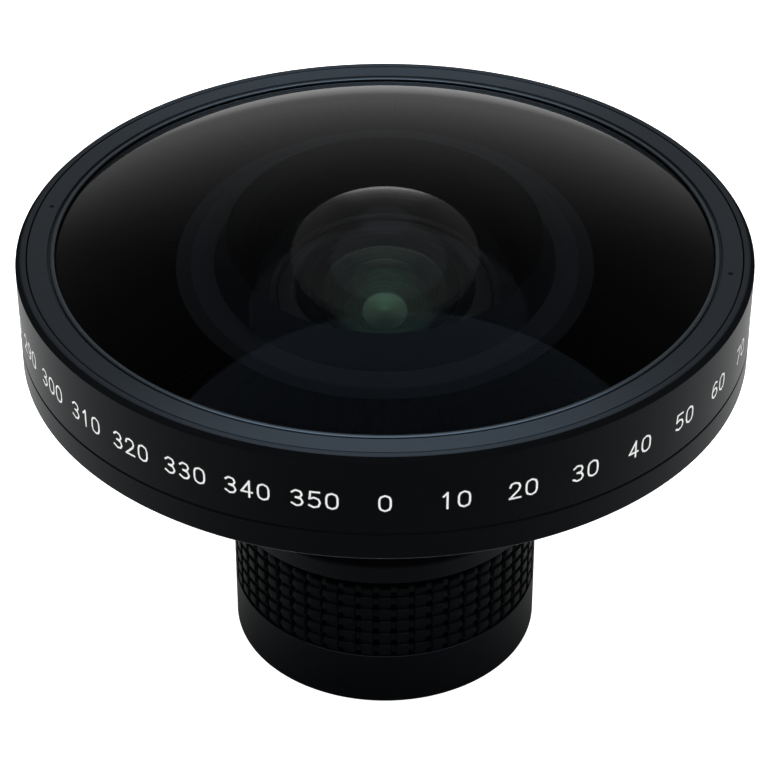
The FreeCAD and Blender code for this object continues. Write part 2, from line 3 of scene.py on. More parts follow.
import bmesh
import bpy
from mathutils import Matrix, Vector


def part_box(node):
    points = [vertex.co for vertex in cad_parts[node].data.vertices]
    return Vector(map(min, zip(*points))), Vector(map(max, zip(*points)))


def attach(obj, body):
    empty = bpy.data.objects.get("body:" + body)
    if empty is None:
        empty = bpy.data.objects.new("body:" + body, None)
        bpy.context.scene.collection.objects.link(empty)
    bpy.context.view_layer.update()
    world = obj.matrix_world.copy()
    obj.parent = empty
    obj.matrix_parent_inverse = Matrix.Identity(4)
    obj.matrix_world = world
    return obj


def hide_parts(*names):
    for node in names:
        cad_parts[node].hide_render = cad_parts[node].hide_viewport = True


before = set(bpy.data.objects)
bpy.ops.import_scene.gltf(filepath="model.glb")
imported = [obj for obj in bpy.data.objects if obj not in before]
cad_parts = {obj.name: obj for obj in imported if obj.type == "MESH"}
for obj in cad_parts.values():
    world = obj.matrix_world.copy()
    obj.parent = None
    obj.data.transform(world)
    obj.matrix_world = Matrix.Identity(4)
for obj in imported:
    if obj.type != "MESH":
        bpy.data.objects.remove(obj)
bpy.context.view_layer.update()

# Lengths are in millimetres and become metres where a mesh is made.
MM = 0.001
FULL_TURN = 2 * math.pi
TINY = 1e-6

# How finely pieces are turned, rounded and cut.
SIDES = 360
TRUMPET_SIDES = 240
PANEL_SIDES = 128
HOLE_SIDES = 32
PIN_SIDES = 24
HEX_SIDES = 6
ROUND_STEPS = 3
SMOOTH_ANGLE = 28
MERGE_DISTANCE = 1e-7
FLAT_FROM = 1.0
FLAT_STRIP = 0.3
CUTTER_REACH = 1.0

# Roundings of turned edges, from the crispest to the softest.
HAIR_EDGE = 0.04
THIN_EDGE = 0.05
CRISP_EDGE = 0.06
FINE_EDGE = 0.08
PLAIN_EDGE = 0.1
EASED_EDGE = 0.12
SOFT_EDGE = 0.14
BROAD_EDGE = 0.16
ROUND_EDGE = 0.2

# Bands of a profile that take a finish of their own reach this far past their edges.
BAND_SLACK = 0.01
FACE_BAND = 0.02
EDGE_BAND = 0.04
BEVEL_BAND = 0.06

# Optical surfaces: radii of curvature, radii from the axis, heights above a seat.
FRONT_CURVE = 109.0
FRONT_RADIUS = 54.0
HOLLOW_CURVE = 28.0
HOLLOW_APERTURE = 22.0
HOLLOW_BEVEL_RADIUS = 22.8
HOLLOW_BEVEL_HEIGHT = 8.0
HOLLOW_RING_RADIUS = 26.0
SECOND_FRONT_CURVE = 32.0
SECOND_REAR_CURVE = 15.5
SECOND_REAR_APERTURE = 13.8
THIRD_FRONT_CURVE = 60.0
THIRD_FRONT_APERTURE = 14.2
THIRD_REAR_CURVE = 34.0
THIRD_REAR_APERTURE = 13.2
MACRO_FRONT_CURVE = 42.0
MACRO_CEMENT_CURVE = 34.0
MACRO_REAR_CURVE = 140.0
MACRO_REAR_APERTURE = 17.2
CEMENT_FILM = 0.02
HOLLOW_STEPS = 96
DOME_STEPS = 120
SECOND_STEPS = 72
THIRD_STEPS = 64
MACRO_STEPS = 28
MACRO_REAR_STEPS = 20

# Head: retaining ring, sleeve and housing.
RING_BORE = 51.35
RING_LIP = 0.15
RING_BEAD_WIDTH = 0.5
RING_BEAD_REACH = 0.2
RING_BEAD_DROP = 0.02
RING_BEAD_HEIGHT = 0.34
RING_BEAD_EDGE = 0.3
RING_GROOVE_WIDTH = 0.45
RING_GROOVE_DEPTH = 0.6
RING_FOOT = 52.5
RING_FOOT_HEIGHT = 2.807
RING_FOOT_STEP = 0.24
RING_SKIRT_BORE = 54.15
RING_SKIRT_LIP = 2.207
SPANNER_CIRCLE = 53.6
SPANNER_RADIUS = 0.4
SPANNER_DEPTH = 1.2
SPANNER_TURN = -10.5
SLEEVE_BORE = 56.42
SLEEVE_BEVEL = 0.72
SEAM_DEPTH = 0.25
SEAM_WIDTH = 0.2
CUP_RADIUS = 56.37
CUP_THREAD_BORE = 55.5
CUP_GLASS_BORE = 54.15
CUP_FLOOR_BORE = 28.0
CUP_FLOOR_RADIUS = 53.0
CUP_FLOOR = 2.0
CUP_STEP = 1.65
CUP_BAND = 4.7
CUP_THREAD = 4.55
CUP_EDGE = 0.4

# Neck, collar and trumpet.
SPIGOT_LENGTH = 7.48
SPIGOT_RADIUS = 23.0
SPIGOT_EDGE = 0.4
NECK_BORE = 21.0
NECK_RADIUS = 24.3
NECK_LENGTH = 5.52
TRUMPET_RADIUS = 20.5
TRUMPET_STEPS = 40
FLANGE_RADIUS = 50.0
FLANGE_THICKNESS = 2.2
SECOND_BORE = 19.55
SECOND_EDGE = 4.0
SECOND_RING_BORE = 21.55
THIRD_BORE = 16.05
THIRD_LEDGE = 1.8
COLLAR_BORE = 24.35
COLLAR_EDGE = 0.25
GRUB_COUNT = 3
GRUB_RADIUS = 0.8
GRUB_SOCKET = 0.42
GRUB_SINK = 0.4
GRUB_SOCKET_DEPTH = 0.8
SCREW_COUNT = 6
SCREW_CIRCLE = 47.4
SCREW_HEAD = 1.9
SCREW_SHANK = 1.0
SCREW_TAPER = 0.9
SCREW_BEVEL = (0.12, 0.08)
SCREW_GAP = 0.05
HOLE_FLARE = 0.5
DRIVER_REACH = 1.1
DRIVER_WIDTH = 0.34
DRIVER_DEPTH = 0.6
DRIVER_TURN = 0.35

# Grip.
BARREL_RADIUS = 25.05
BARREL_EDGE = 0.5
BARREL_RIM = 0.3
SOCKET_RADIUS = 23.05
SOCKET_DEPTH = 7.45
MACRO_BORE = 18.55
SHOULDER_BORE = 17.0
SHOULDER_TOP = 4.6
FLANGE_BORE = 20.65
FLANGE_POCKET = 2.6
PAD_COLUMNS = 54
GROOVE_ROWS = 6
FIRST_GROOVE = 10.32
GROOVE_PITCH = 2.44
GROOVE_WIDTH = 0.85
GROOVE_DEPTH = 0.45
FLUTE_WIDTH = 1.0
FLUTE_DEPTH = 0.6
PAD_EDGE = 0.16
PAD_EDGE_PARTS = (0.0, 0.25, 0.6, 1.0)
PAD_ROOT = 0.2
PAD_TOP_GAP = 0.02
HALF_ROW = 0.5
# Painted shade in the grip's grooves and under the collar: band of a groove row, band below the grip's
# top, shift with depth, depths where it starts and is full, and how much it darkens.
PAINTED_SHADE_ROW = (0.16, 0.3)
PAINTED_SHADE_RIM = (1.25, 0.75)
PAINTED_SHADE_DROP = 0.7
PAINTED_SHADE_FROM = GROOVE_DEPTH + 0.02
PAINTED_SHADE_FULL = FLUTE_DEPTH - 0.01
PAINTED_SHADE_STRENGTH = 0.85

# Threads.
THREAD_PITCH = 0.75
THREAD_DEPTH = 0.42
THREAD_STEPS = 10
MOUNT_RADIUS = 18.5
MOUNT_BORE = 16.6
MOUNT_LENGTH = 3.2
MOUNT_EDGE = 0.4
MOUNT_FLANGE = 20.6
SLOT_WIDTH = 1.6
SLOT_DEPTH = 1.0
SLOT_REACH = 1.1

# Engraved scale on the sleeve.
DIGIT_HEIGHT = 2.7
DIGIT_WIDTH = 1.6
DIGIT_GAP = 0.9
STROKE = 0.31
STROKE_STEP = 0.35
SHARP_TURN = 1.0
STROKE_LIFT = 0.012
STROKE_ROOT = 0.05
SCALE_SINK = 0.01
SCALE_HEIGHT = 67.75
SCALE_STEP = 10

# Surface marks and finishes: scales per metre, depths in metres.
GRAIN_SCALE = 9000.0
SMUDGE_SCALE = 45.0
SMUDGE_DETAIL = 5.0
SMUDGE_ROUGHNESS = 0.62
LINE_PITCH = 14000.0
LINE_DEPTH = 0.00002
GRAIN_DEPTH = 0.00004
CLOUDINESS = 0.97
METAL_TINT = (0.78, 0.92, 1.0)
ACROSS_LINES = 0.25

# Room: levels for everything but the camera, which sees white.
GLOW = 0.215
GLOW_TOP = 0.92
GLOW_WIDTH = 0.82
GLOW_SIDE = 0.15
ROOM = 0.036
GLASS_ROOM = 0.064
ROOM_LIGHT = 0.12
# The floor as reflections see it is a painted glow: dim in front, rising behind the part, with a painted
# shadow close round the part and a fall with distance.
FLOOR_FRONT = 0.05
FLOOR_RISE = 0.6
FLOOR_TURN = 1.2
FLOOR_SHADE = (0.018, 0.065, 0.14)
FLOOR_FALL = (0.17, 0.9, 0.4)
FLOOR_COLOUR = 0.8
FLOOR_SEEN = 0.92
FLOOR_REACH = 3.0
FLOOR_DROP = 0.00001

# Ceiling panels: place, radius and height, then their levels on metal, on glass and in glass.
PANEL_COLOUR = (0.75, 0.93, 1.15)
PANELS = {
    "wide_panel": ((0.116, -0.786), 1.056, 0.8, 0.85, 0.38, 0.08),
    "small_panel": ((0.006, 0.344), 0.296, 0.799, 0.5, 0.12, 0.06),
}

# Soft lamps: place, height aimed at, size and power.
LAMPS = {
    "overhead_soft": ((0.0, 0.35, 0.9), 0.05, (0.9, 0.7), 9.0),
    "left_soft": ((-0.9, 0.25, 0.35), 0.05, (0.5, 0.6), 5.0),
    "right_soft": ((0.9, 0.25, 0.35), 0.05, (0.5, 0.6), 5.0),
    "front_soft": ((0.0, -1.0, 0.35), 0.06, (0.8, 0.5), 6.0),
}

# The photo's view.
VIEW_ELEVATION = 35.239
VIEW_DISTANCE = 450.0
VIEW_TARGET = (-0.152, 0.0, 49.222)
LENS_MM = 131.0
SENSOR_MM = 36.0
CLIP_START = 0.01


def extent(name):
    """Lowest height, highest height and radius of a CAD node."""
    low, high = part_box(name)
    return low[2] / MM, high[2] / MM, high[0] / MM


def sag(curve, reach):
    """Depth of a spherical surface at `reach` from the axis."""
    return curve - math.sqrt(curve * curve - reach * reach)


def surface(vertex, curve, reach, steps, hollow=False):
    """Points of a spherical surface from the axis out to `reach`; hollow ones curve up outwards."""
    points = []
    for step in range(steps + 1):
        radius = reach * math.sin(math.pi / 2 * step / steps)
        depth = sag(curve, radius)
        points.append((radius, vertex + depth if hollow else vertex - depth))
    return points


def from_rim(rim, curve, reach, steps, hollow=False):
    """The same from the height of the surface's rim."""
    depth = sag(curve, reach)
    return surface(rim - depth if hollow else rim + depth, curve, reach, steps, hollow)


def soften(corners):
    """Closed profile whose corners (radius, height, edge) are rounded by `edge`.

    A narrow strip beside each rounding keeps a long face's shading flat.
    """
    points = []
    count = len(corners)
    for index, corner in enumerate(corners):
        here = Vector(corner[:2])
        edge = corner[2] if len(corner) > 2 else 0
        if not edge:
            points.append(tuple(here))
            continue
        before = Vector(corners[index - 1][:2]) - here
        after = Vector(corners[(index + 1) % count][:2]) - here
        start = here + before.normalized() * min(edge, before.length / 2)
        end = here + after.normalized() * min(edge, after.length / 2)
        if before.length > FLAT_FROM:
            points.append(tuple(start + before.normalized() * edge * FLAT_STRIP))
        for step in range(ROUND_STEPS + 1):
            part = step / ROUND_STEPS
            spot = start * (1 - part) ** 2 + here * 2 * part * (1 - part) + end * part ** 2
            points.append(tuple(spot))
        if after.length > FLAT_FROM:
            points.append(tuple(end + after.normalized() * edge * FLAT_STRIP))
    return points


def link(name, data):
    obj = bpy.data.objects.new(name, data)
    bpy.context.scene.collection.objects.link(obj)
    return obj


def finish_mesh(mesh, turn_out=True):
    """Merged vertices, smooth shading with real edges kept, and faces that point out."""
    work = bmesh.new()
    work.from_mesh(mesh)
    bmesh.ops.remove_doubles(work, verts=work.verts, dist=MERGE_DISTANCE)
    if turn_out:
        bmesh.ops.recalc_face_normals(work, faces=work.faces)
    work.to_mesh(mesh)
    work.free()
    mesh.shade_smooth()
    mesh.set_sharp_from_angle(angle=math.radians(SMOOTH_ANGLE))


def build_mesh(name, points, faces, slots=None):
    """Mesh object from points in millimetres."""
    mesh = bpy.data.meshes.new(name)
    mesh.from_pydata([(x * MM, y * MM, z * MM) for x, y, z in points], [], faces)
    if slots:
        for face, slot in zip(mesh.polygons, slots):
            face.material_index = slot
    finish_mesh(mesh)
    return link(name, mesh)


def ring_faces(rings, closed=False):
    """Quads and end triangles between rings of vertex numbers; a ring of one is a pole."""
    faces = []
    owners = []
    last = len(rings) if closed else len(rings) - 1
    for index in range(last):
        low = rings[index]
        high = rings[(index + 1) % len(rings)]
        sides = max(len(low), len(high))
        if sides == 1:
            continue
        for side in range(sides):
            following = (side + 1) % sides
            if len(low) == 1:
                faces.append((low[0], high[following], high[side]))
            elif len(high) == 1:
                faces.append((low[side], low[following], high[0]))
            else:
                faces.append((low[side], low[following], high[following], high[side]))
            owners.append(index)
    return faces, owners


def turns(count, start=0.0):
    """Evenly spaced turns about the axis."""
    return [start + FULL_TURN * step / count for step in range(count)]


def polar(radius, turn):
    """Flat spot at a radius and a turn about the axis."""
    return radius * math.cos(turn), radius * math.sin(turn)


def lathe(name, profile, slots=None, sides=SIDES, shape=None):
    """Turned piece from a closed profile of (radius, height).

    slots gives each profile edge its material slot. shape(radius, height, turn) may move a point's radius.
    """
    points = []
    rings = []
    for radius, height in profile:
        if radius < TINY:
            rings.append([len(points)])
            points.append((0.0, 0.0, height))
            continue
        rings.append(list(range(len(points), len(points) + sides)))
        for turn in turns(sides):
            reach = shape(radius, height, turn) if shape else radius
            points.append((*polar(reach, turn), height))
    faces, owners = ring_faces(rings, closed=True)
    marks = [slots[owner] for owner in owners] if slots else None
    return build_mesh(name, points, faces, marks)


def stacked(name, rings):
    """Closed piece from outlines of equally many points, one above the other."""
    points = [point for ring in rings for point in ring]
    sides = len(rings[0])
    loops = [list(range(start, start + sides)) for start in range(0, len(points), sides)]
    faces, _ = ring_faces(loops)
    faces += [tuple(loops[0])[::-1], tuple(loops[-1])]
    return build_mesh(name, points, faces)


def circle(spot, radius, sides=HOLE_SIDES):
    """Flat outline round a spot."""
    rim = [polar(radius, turn) for turn in turns(sides)]
    return [(spot[0] + across, spot[1] + along) for across, along in rim]


def prism(name, outline, low, high):
    """Upright prism over a flat outline of (x, y)."""
    return stacked(name, [[(x, y, height) for x, y in outline] for height in (low, high)])


def upright_turned(name, spot, rings):
    """Small turned shape at a flat spot, from its (radius, height) rings."""
    return stacked(name, [[(x, y, height) for x, y in circle(spot, radius)] for radius, height in rings])


def turned_about(points, angle):
    """Flat points turned about the origin."""
    return [(x * math.cos(angle) - y * math.sin(angle), x * math.sin(angle) + y * math.cos(angle))
            for x, y in points]


def radial_pin(name, radius, near, far, height, turn, sides=PIN_SIDES):
    """Pin of many sides that points away from the axis."""
    rim = circle((0, 0), radius, sides)
    rings = []
    for reach in (near, far):
        flat = turned_about([(reach, across) for across, _ in rim], turn)
        rings.append([(x, y, height + up) for (x, y), (_, up) in zip(flat, rim)])
    return stacked(name, rings)


def threaded(radius, low, high):
    """Radius function of an outside thread between two heights, shallow at both ends."""
    def shape(reach, height, turn):
        if abs(reach - radius) > TINY or not low < height < high:
            return reach
        phase = (height / THREAD_PITCH - turn / FULL_TURN) % 1
        depth = THREAD_DEPTH * (1 - abs(2 * phase - 1))
        fade = min(1, (height - low) / THREAD_PITCH * 2, (high - height) / THREAD_PITCH * 2)
        return radius - depth * fade
    return shape


def thread_points(radius, low, high):
    """Profile points that are close enough together for a thread."""
    count = round((high - low) / THREAD_PITCH * THREAD_STEPS)
    return [(radius, low + (high - low) * step / count) for step in range(count + 1)]


def bake(obj):
    """Turn an object's modifiers into plain mesh."""
    seen = obj.evaluated_get(bpy.context.evaluated_depsgraph_get())
    result = bpy.data.meshes.new_from_object(seen)
    obj.modifiers.clear()
    obj.data = result


def cut(obj, cutter):
    """Take one mesh out of another and drop the cutter."""
    modifier = obj.modifiers.new("cut", "BOOLEAN")
    modifier.operation = "DIFFERENCE"
    modifier.solver = "EXACT"
    modifier.object = cutter
    bake(obj)
    bpy.data.objects.remove(cutter)
    finish_mesh(obj.data, turn_out=False)


def fill(tree, step, inputs):
    """Give a node's inputs their values, or link the sockets that feed them."""
    for label, value in dict(inputs).items():
        if isinstance(value, bpy.types.NodeSocket):
            tree.links.new(value, step.inputs[label])
        else:
            step.inputs[label].default_value = value
    return step


def add_node(tree, kind, inputs=(), **settings):
    """New node with its settings and inputs."""
    step = tree.nodes.new(kind)
    for label, value in settings.items():
        setattr(step, label, value)
    return fill(tree, step, inputs)


def calc(tree, operation, *values):
    """Result of a calculation on numbers, sockets, or further calculations given as tuples."""
    values = [calc(tree, *value) if isinstance(value, tuple) else value for value in values]
    return add_node(tree, "ShaderNodeMath", enumerate(values), operation=operation).outputs[0]


def make_around_tree():
    """Geometry Nodes tree that repeats its mesh evenly about the optical axis."""
    tree = bpy.data.node_groups.new("around_axis", "GeometryNodeTree")
    for label, kind in (("Geometry", "Geometry"), ("Count", "Int"), ("Finish", "Material")):
        tree.interface.new_socket(label, in_out="INPUT", socket_type="NodeSocket" + kind)
    tree.interface.new_socket("Geometry", in_out="OUTPUT", socket_type="NodeSocketGeometry")
    entry = tree.nodes.new("NodeGroupInput").outputs
    points = add_node(tree, "GeometryNodePoints", {"Count": entry["Count"]})
    number = tree.nodes.new("GeometryNodeInputIndex").outputs[0]
    turn = calc(tree, "MULTIPLY", number, ("DIVIDE", FULL_TURN, entry["Count"]))
    spin = add_node(tree, "ShaderNodeCombineXYZ", {"Z": turn})
    copies = add_node(tree, "GeometryNodeInstanceOnPoints", {
        "Points": points.outputs[0], "Instance": entry["Geometry"], "Rotation": spin.outputs[0]})
    real = add_node(tree, "GeometryNodeRealizeInstances", {0: copies.outputs[0]})
    finish = add_node(tree, "GeometryNodeSetMaterial", {
        "Geometry": real.outputs[0], "Material": entry["Finish"]})
    add_node(tree, "NodeGroupOutput", {0: finish.outputs[0]})
    return tree


AROUND = make_around_tree()


def repeat_around(obj, count, material):
    """Repeat a piece about the optical axis and keep the result as a plain mesh."""
    modifier = obj.modifiers.new("around", "NODES")
    modifier.node_group = AROUND
    values = {"Count": count, "Finish": material}
    for item in AROUND.interface.items_tree:
        if item.in_out == "INPUT" and item.name in values:
            modifier[item.identifier] = values[item.name]
    bake(obj)


def place(obj, body, slot_name, materials, *nodes):
    """Give a finished piece its materials and body, and hide the CAD nodes that it stands for; slot_name
    is not used.
    """
    for material in materials:
        obj.data.materials.append(material)
    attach(obj, body)
    if nodes:
        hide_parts(*nodes)


def dress(material, *names):
    """Give CAD nodes their material."""
    for name in names:
        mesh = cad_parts[name].data
        mesh.materials.clear()
        mesh.materials.append(material)


# Surface marks

def map_range(tree, value, low, high, start=0.0, end=1.0, **settings):
    """Value that goes from `low` to `high` while the input goes from `start` to `end`."""
    inputs = {"Value": value, "From Min": start, "From Max": end, "To Min": low, "To Max": high}
    return add_node(tree, "ShaderNodeMapRange", inputs, **settings).outputs["Result"]


def smooth_step(tree, value, start, end, low, high):
    """The same, but it leaves `low` and reaches `high` softly."""
    return map_range(tree, value, low, high, start, end, interpolation_type="SMOOTHSTEP")


def split_vector(tree, vector):
    """A vector's X, Y and Z."""
    return add_node(tree, "ShaderNodeSeparateXYZ", {0: vector}).outputs


def flat_length(tree, parts):
    """Length of a vector's part along the floor."""
    squares = [("MULTIPLY", parts[axis], parts[axis]) for axis in "XY"]
    return calc(tree, "SQRT", ("ADD", *squares))


def object_point(tree):
    """Place on the piece itself, in metres."""
    return tree.nodes.new("ShaderNodeTexCoord").outputs["Object"]


def make_group(name, inputs, outputs):
    """Shader node group with number sockets; gives the group and what comes in."""
    group = bpy.data.node_groups.new(name, "ShaderNodeTree")
    for label, default in inputs.items():
        socket = group.interface.new_socket(label, in_out="INPUT", socket_type="NodeSocketFloat")
        socket.default_value = default
    for label in outputs:
        group.interface.new_socket(label, in_out="OUTPUT", socket_type="NodeSocketFloat")
    return group, group.nodes.new("NodeGroupInput").outputs


def make_grain_group():
    """Fine blasted grain and faint handling marks of an anodised surface."""
    scales = {"Grain": GRAIN_SCALE, "Smudge": SMUDGE_SCALE}
    group, entry = make_group("anodised_grain", scales, scales)
    point = object_point(group)
    grain = add_node(group, "ShaderNodeTexNoise", {
        "Vector": point, "Scale": entry["Grain"], "Detail": 1.0})
    smudge = add_node(group, "ShaderNodeTexNoise", {
        "Vector": point, "Scale": entry["Smudge"], "Detail": SMUDGE_DETAIL, "Roughness": SMUDGE_ROUGHNESS})
    add_node(group, "NodeGroupOutput", {"Grain": grain.outputs["Fac"], "Smudge": smudge.outputs["Fac"]})
    return group


def make_turning_group():
    """Lathe lines: bands that follow the distance from the axis and the height."""
    group, entry = make_group("turning_lines", {"Pitch": LINE_PITCH}, ["Line", "Radius"])
    split = split_vector(group, object_point(group))
    radius = flat_length(group, split)
    travel = calc(group, "ADD", radius, split["Z"])
    inputs = {"Scale": entry["Pitch"], "W": travel, "Detail": 2.0}
    lines = add_node(group, "ShaderNodeTexNoise", inputs, noise_dimensions="1D")
    add_node(group, "NodeGroupOutput", {"Line": lines.outputs["Fac"], "Radius": radius})
    return group


def make_recess_group():
    """Painted shade on the grip: 1 in the open, less in the crossings, in the grooves and under the
    collar, where their shadow would fall.
    """
    group, entry = make_group("grip_painted_shade", {"Depth": PAINTED_SHADE_STRENGTH}, ["Unshaded"])
    low, top, _ = extent("rear_barrel")
    split = split_vector(group, object_point(group))
    sunk = calc(group, "SUBTRACT", BARREL_RADIUS * MM, flat_length(group, split))
    row = ("SUBTRACT", split["Z"], (low + FIRST_GROOVE) * MM)
    # The painted shade sits lower the deeper the surface lies.
    row = calc(group, "DIVIDE", ("ADD", row, ("MULTIPLY", sunk, PAINTED_SHADE_DROP)), GROOVE_PITCH * MM)
    away = calc(group, "ABSOLUTE", ("SUBTRACT", row, ("ROUND", row)))
    groove = smooth_step(group, away, *PAINTED_SHADE_ROW, 1.0, 0.0)
    inside = ("MULTIPLY", ("GREATER_THAN", row, -HALF_ROW), ("LESS_THAN", row, GROOVE_ROWS - HALF_ROW))
    top *= MM
    # Painted shade along the grip's top, under the collar.
    rim = smooth_step(group, split["Z"], top - PAINTED_SHADE_RIM[0] * MM, top - PAINTED_SHADE_RIM[1] * MM, 0.0, 1.0)
    deep = smooth_step(group, sunk, PAINTED_SHADE_FROM * MM, PAINTED_SHADE_FULL * MM, 0.0, 1.0)
    shade = ("MAXIMUM", ("MULTIPLY", ("MULTIPLY", groove, inside), deep), rim)
    unshaded_share = calc(group, "SUBTRACT", 1.0, ("MULTIPLY", shade, entry["Depth"]))
    add_node(group, "NodeGroupOutput", {"Unshaded": unshaded_share})
    return group


GRAIN = make_grain_group()
TURNING = make_turning_group()
PAINTED_GROOVE_SHADE = make_recess_group()


# Materials

def add_group(tree, group, **values):
    """Place a node group and give what it puts out."""
    return add_node(tree, "ShaderNodeGroup", values, node_tree=group).outputs


def bump(tree, shader, height, strength, distance):
    """Fine relief of a surface."""
    step = add_node(tree, "ShaderNodeBump", {"Strength": strength, "Distance": distance, "Height": height})
    fill(tree, shader, {"Normal": step.outputs["Normal"]})


def new_finish(name, dark, light, rough, sockets=(), follow="Smudge", **scales):
    """Material whose colour wanders with one of the marks, as does a roughness that is a pair.

    sockets holds the values that are the same all over.
    """
    material = bpy.data.materials.new(name)
    material.use_nodes = True
    tree = material.node_tree
    shader = tree.nodes["Principled BSDF"]
    marks = add_group(tree, GRAIN, **scales)
    if isinstance(rough, tuple):
        rough = map_range(tree, marks["Smudge"], *rough)
    mixed = {"Factor": marks[follow], "A": (*dark, 1), "B": (*light, 1)}
    colour = add_node(tree, "ShaderNodeMix", mixed, data_type="RGBA")
    fill(tree, shader, {"Base Color": colour.outputs["Result"], "Roughness": rough, **dict(sockets)})
    return material, tree, shader, marks


def black_metal(name, dark, light, rough, lines=0.5, strength=0.18, level=0.5, index=1.5,
                brushed=0.0, lean=0.0, painted_shade=False):
    """Black anodised aluminium: near-black, faint grain, lathe lines and smudges.

    brushed draws its highlights out across the lathe lines, lean tips them outwards, and the last flag
    paints shade into the grip's grooves and under its collar, darkening colour and reflection.
    """
    material, tree, shader, marks = new_finish(name, dark, light, rough, {
        "Specular IOR Level": level, "IOR": index, "Specular Tint": (*METAL_TINT, 1)})
    if painted_shade:
        # Painted shade: darker colour and a dimmed reflection in the grip's grooves and under the collar.
        shade_factor = add_group(tree, PAINTED_GROOVE_SHADE)["Unshaded"]
        colour = shader.inputs["Base Color"].links[0].from_socket
        scaled = add_node(tree, "ShaderNodeVectorMath", {0: colour, "Scale": shade_factor}, operation="SCALE")
        fill(tree, shader, {
            "Base Color": scaled.outputs[0], "Metallic": map_range(tree, shade_factor, 1.0, 0.0)})
    turning = add_group(tree, TURNING)
    height = calc(tree, "ADD", ("MULTIPLY", turning["Line"], lines), marks["Grain"])
    if lean:
        slope = -lean / (strength * LINE_DEPTH)
        height = calc(tree, "ADD", height, ("MULTIPLY", turning["Radius"], slope))
    bump(tree, shader, height, strength, LINE_DEPTH)
    if brushed:
        tangent = add_node(tree, "ShaderNodeTangent", direction_type="RADIAL", axis="Z")
        fill(tree, shader, {
            "Anisotropic": brushed, "Anisotropic Rotation": ACROSS_LINES, "Tangent": tangent.outputs[0]})
    return material


def bright_edge(name, dark, light, rough, metallic, relief):
    """Lighter, mostly metallic edge with lathe lines; its light colour paints a highlight along the edge.
    """
    material, tree, shader, _ = new_finish(name, dark, light, rough, {"Metallic": metallic})
    bump(tree, shader, add_group(tree, TURNING)["Line"], relief, LINE_DEPTH)
    return material


def grainy(name, dark, light, rough, relief, depth, **options):
    """Paint or rubber with a relief of its own grain."""
    material, tree, shader, marks = new_finish(name, dark, light, rough, **options)
    bump(tree, shader, marks["Grain"], relief, depth)
    return material


def matt_black(name, dark, light, rough=0.9):
    """Light-trap paint."""
    return grainy(name, dark, light, rough, relief=0.4, depth=GRAIN_DEPTH,
                  sockets={"Specular IOR Level": 0.2}, follow="Grain", Grain=5200.0)


def coated_glass(name, index, tint, clear=(1, 1, 1)):
    """Clear optical glass with a tinted anti-reflection coating and the faintest cloudiness."""
    cloudy = [CLOUDINESS * part for part in clear]
    return new_finish(name, cloudy, clear, 0.0, {
        "Transmission Weight": 1.0, "IOR": index, "Specular Tint": (*tint, 1)}, Smudge=60.0)[0]


ANODISED = ((0.0013, 0.0014, 0.0018), (0.0023, 0.0025, 0.0031), (0.2, 0.26))
TURNED_FACE = {"lines": 1.0, "strength": 0.25, "brushed": 0.85}
SLEEVE = black_metal("sleeve_anodised", *ANODISED)
BEVEL = black_metal("bevel_anodised", (0.003, 0.0033, 0.004), (0.0048, 0.0052, 0.0062), (0.3, 0.4),
                    level=0.0)
HOUSING = black_metal("housing_anodised", *ANODISED)
RING = black_metal("ring_turned", (0.0085, 0.0097, 0.0115), (0.0115, 0.013, 0.0155), (0.42, 0.52),
                   index=1.8, lean=0.08, **TURNED_FACE)
LAND = black_metal("land_turned", (0.0075, 0.0085, 0.0105), (0.0105, 0.012, 0.0145), (0.42, 0.52),
                   index=1.65, **TURNED_FACE)
BEAD = black_metal("bead_turned", (0.008, 0.009, 0.0105), (0.012, 0.0132, 0.0155), (0.22, 0.3),
                   lines=0.4, strength=0.1, index=2.6)
# The grip's core and pads take the painted groove shade.
GRIP = black_metal("grip_anodised", (0.0013, 0.0014, 0.0017), (0.0024, 0.0026, 0.0031), (0.22, 0.3),
                   painted_shade=True)
PADS = black_metal("pads_anodised", (0.002, 0.0021, 0.0024), (0.0033, 0.0035, 0.004), (0.3, 0.4),
                   level=0.18, painted_shade=True)
NECK = black_metal("neck_anodised", (0.0016, 0.0018, 0.0023), (0.0028, 0.0031, 0.0038), (0.2, 0.27))
# Painted highlight: the lighter colour on the cup's lower chamfer stands in for a bright line along the
# head's lower edge.
HIGHLIGHT_EDGE = bright_edge("edge_painted_highlight", (0.34, 0.37, 0.4), (0.42, 0.46, 0.5), 0.35, metallic=0.85, relief=0.1)
BAFFLE = matt_black("baffle_black", (0.003, 0.003, 0.003), (0.008, 0.008, 0.008))
INNER_RING = matt_black("inner_ring_black", (0.02, 0.018, 0.016), (0.03, 0.027, 0.024), rough=0.5)
GLASS_PAINT = matt_black("glass_edge_paint", (0.003, 0.003, 0.004), (0.007, 0.007, 0.008), rough=0.5)
GLASS_GROUND = matt_black("glass_ground_ring", (0.012, 0.0125, 0.014), (0.02, 0.021, 0.023), rough=0.6)
FRONT_GLASS = coated_glass("front_glass", 1.68, (0.09, 0.1, 0.11))
HOLLOW_GLASS = coated_glass("hollow_glass", 1.68, (1.0, 0.95, 0.9))
INNER_GLASS = coated_glass("inner_glass", 1.72, (0.25, 0.55, 0.36), (0.8, 1.0, 0.89))
MACRO_GLASS = coated_glass("macro_glass", 1.7, (0.25, 0.6, 0.38), (0.72, 0.9, 0.8))
PAINT = grainy("engraved_paint", (0.74, 0.74, 0.73), (0.9, 0.9, 0.88), 0.55, relief=0.2,
               depth=LINE_DEPTH, Grain=6000.0, Smudge=900.0)
RUBBER = grainy("seal_rubber", (0.006, 0.006, 0.006), (0.014, 0.014, 0.014), 0.7, relief=0.3,
                depth=GRAIN_DEPTH, Grain=3600.0)
STEEL, *_ = new_finish("blackened_steel", (0.03, 0.03, 0.032), (0.07, 0.07, 0.072), (0.3, 0.5),
                       {"Metallic": 0.8})


# Glass

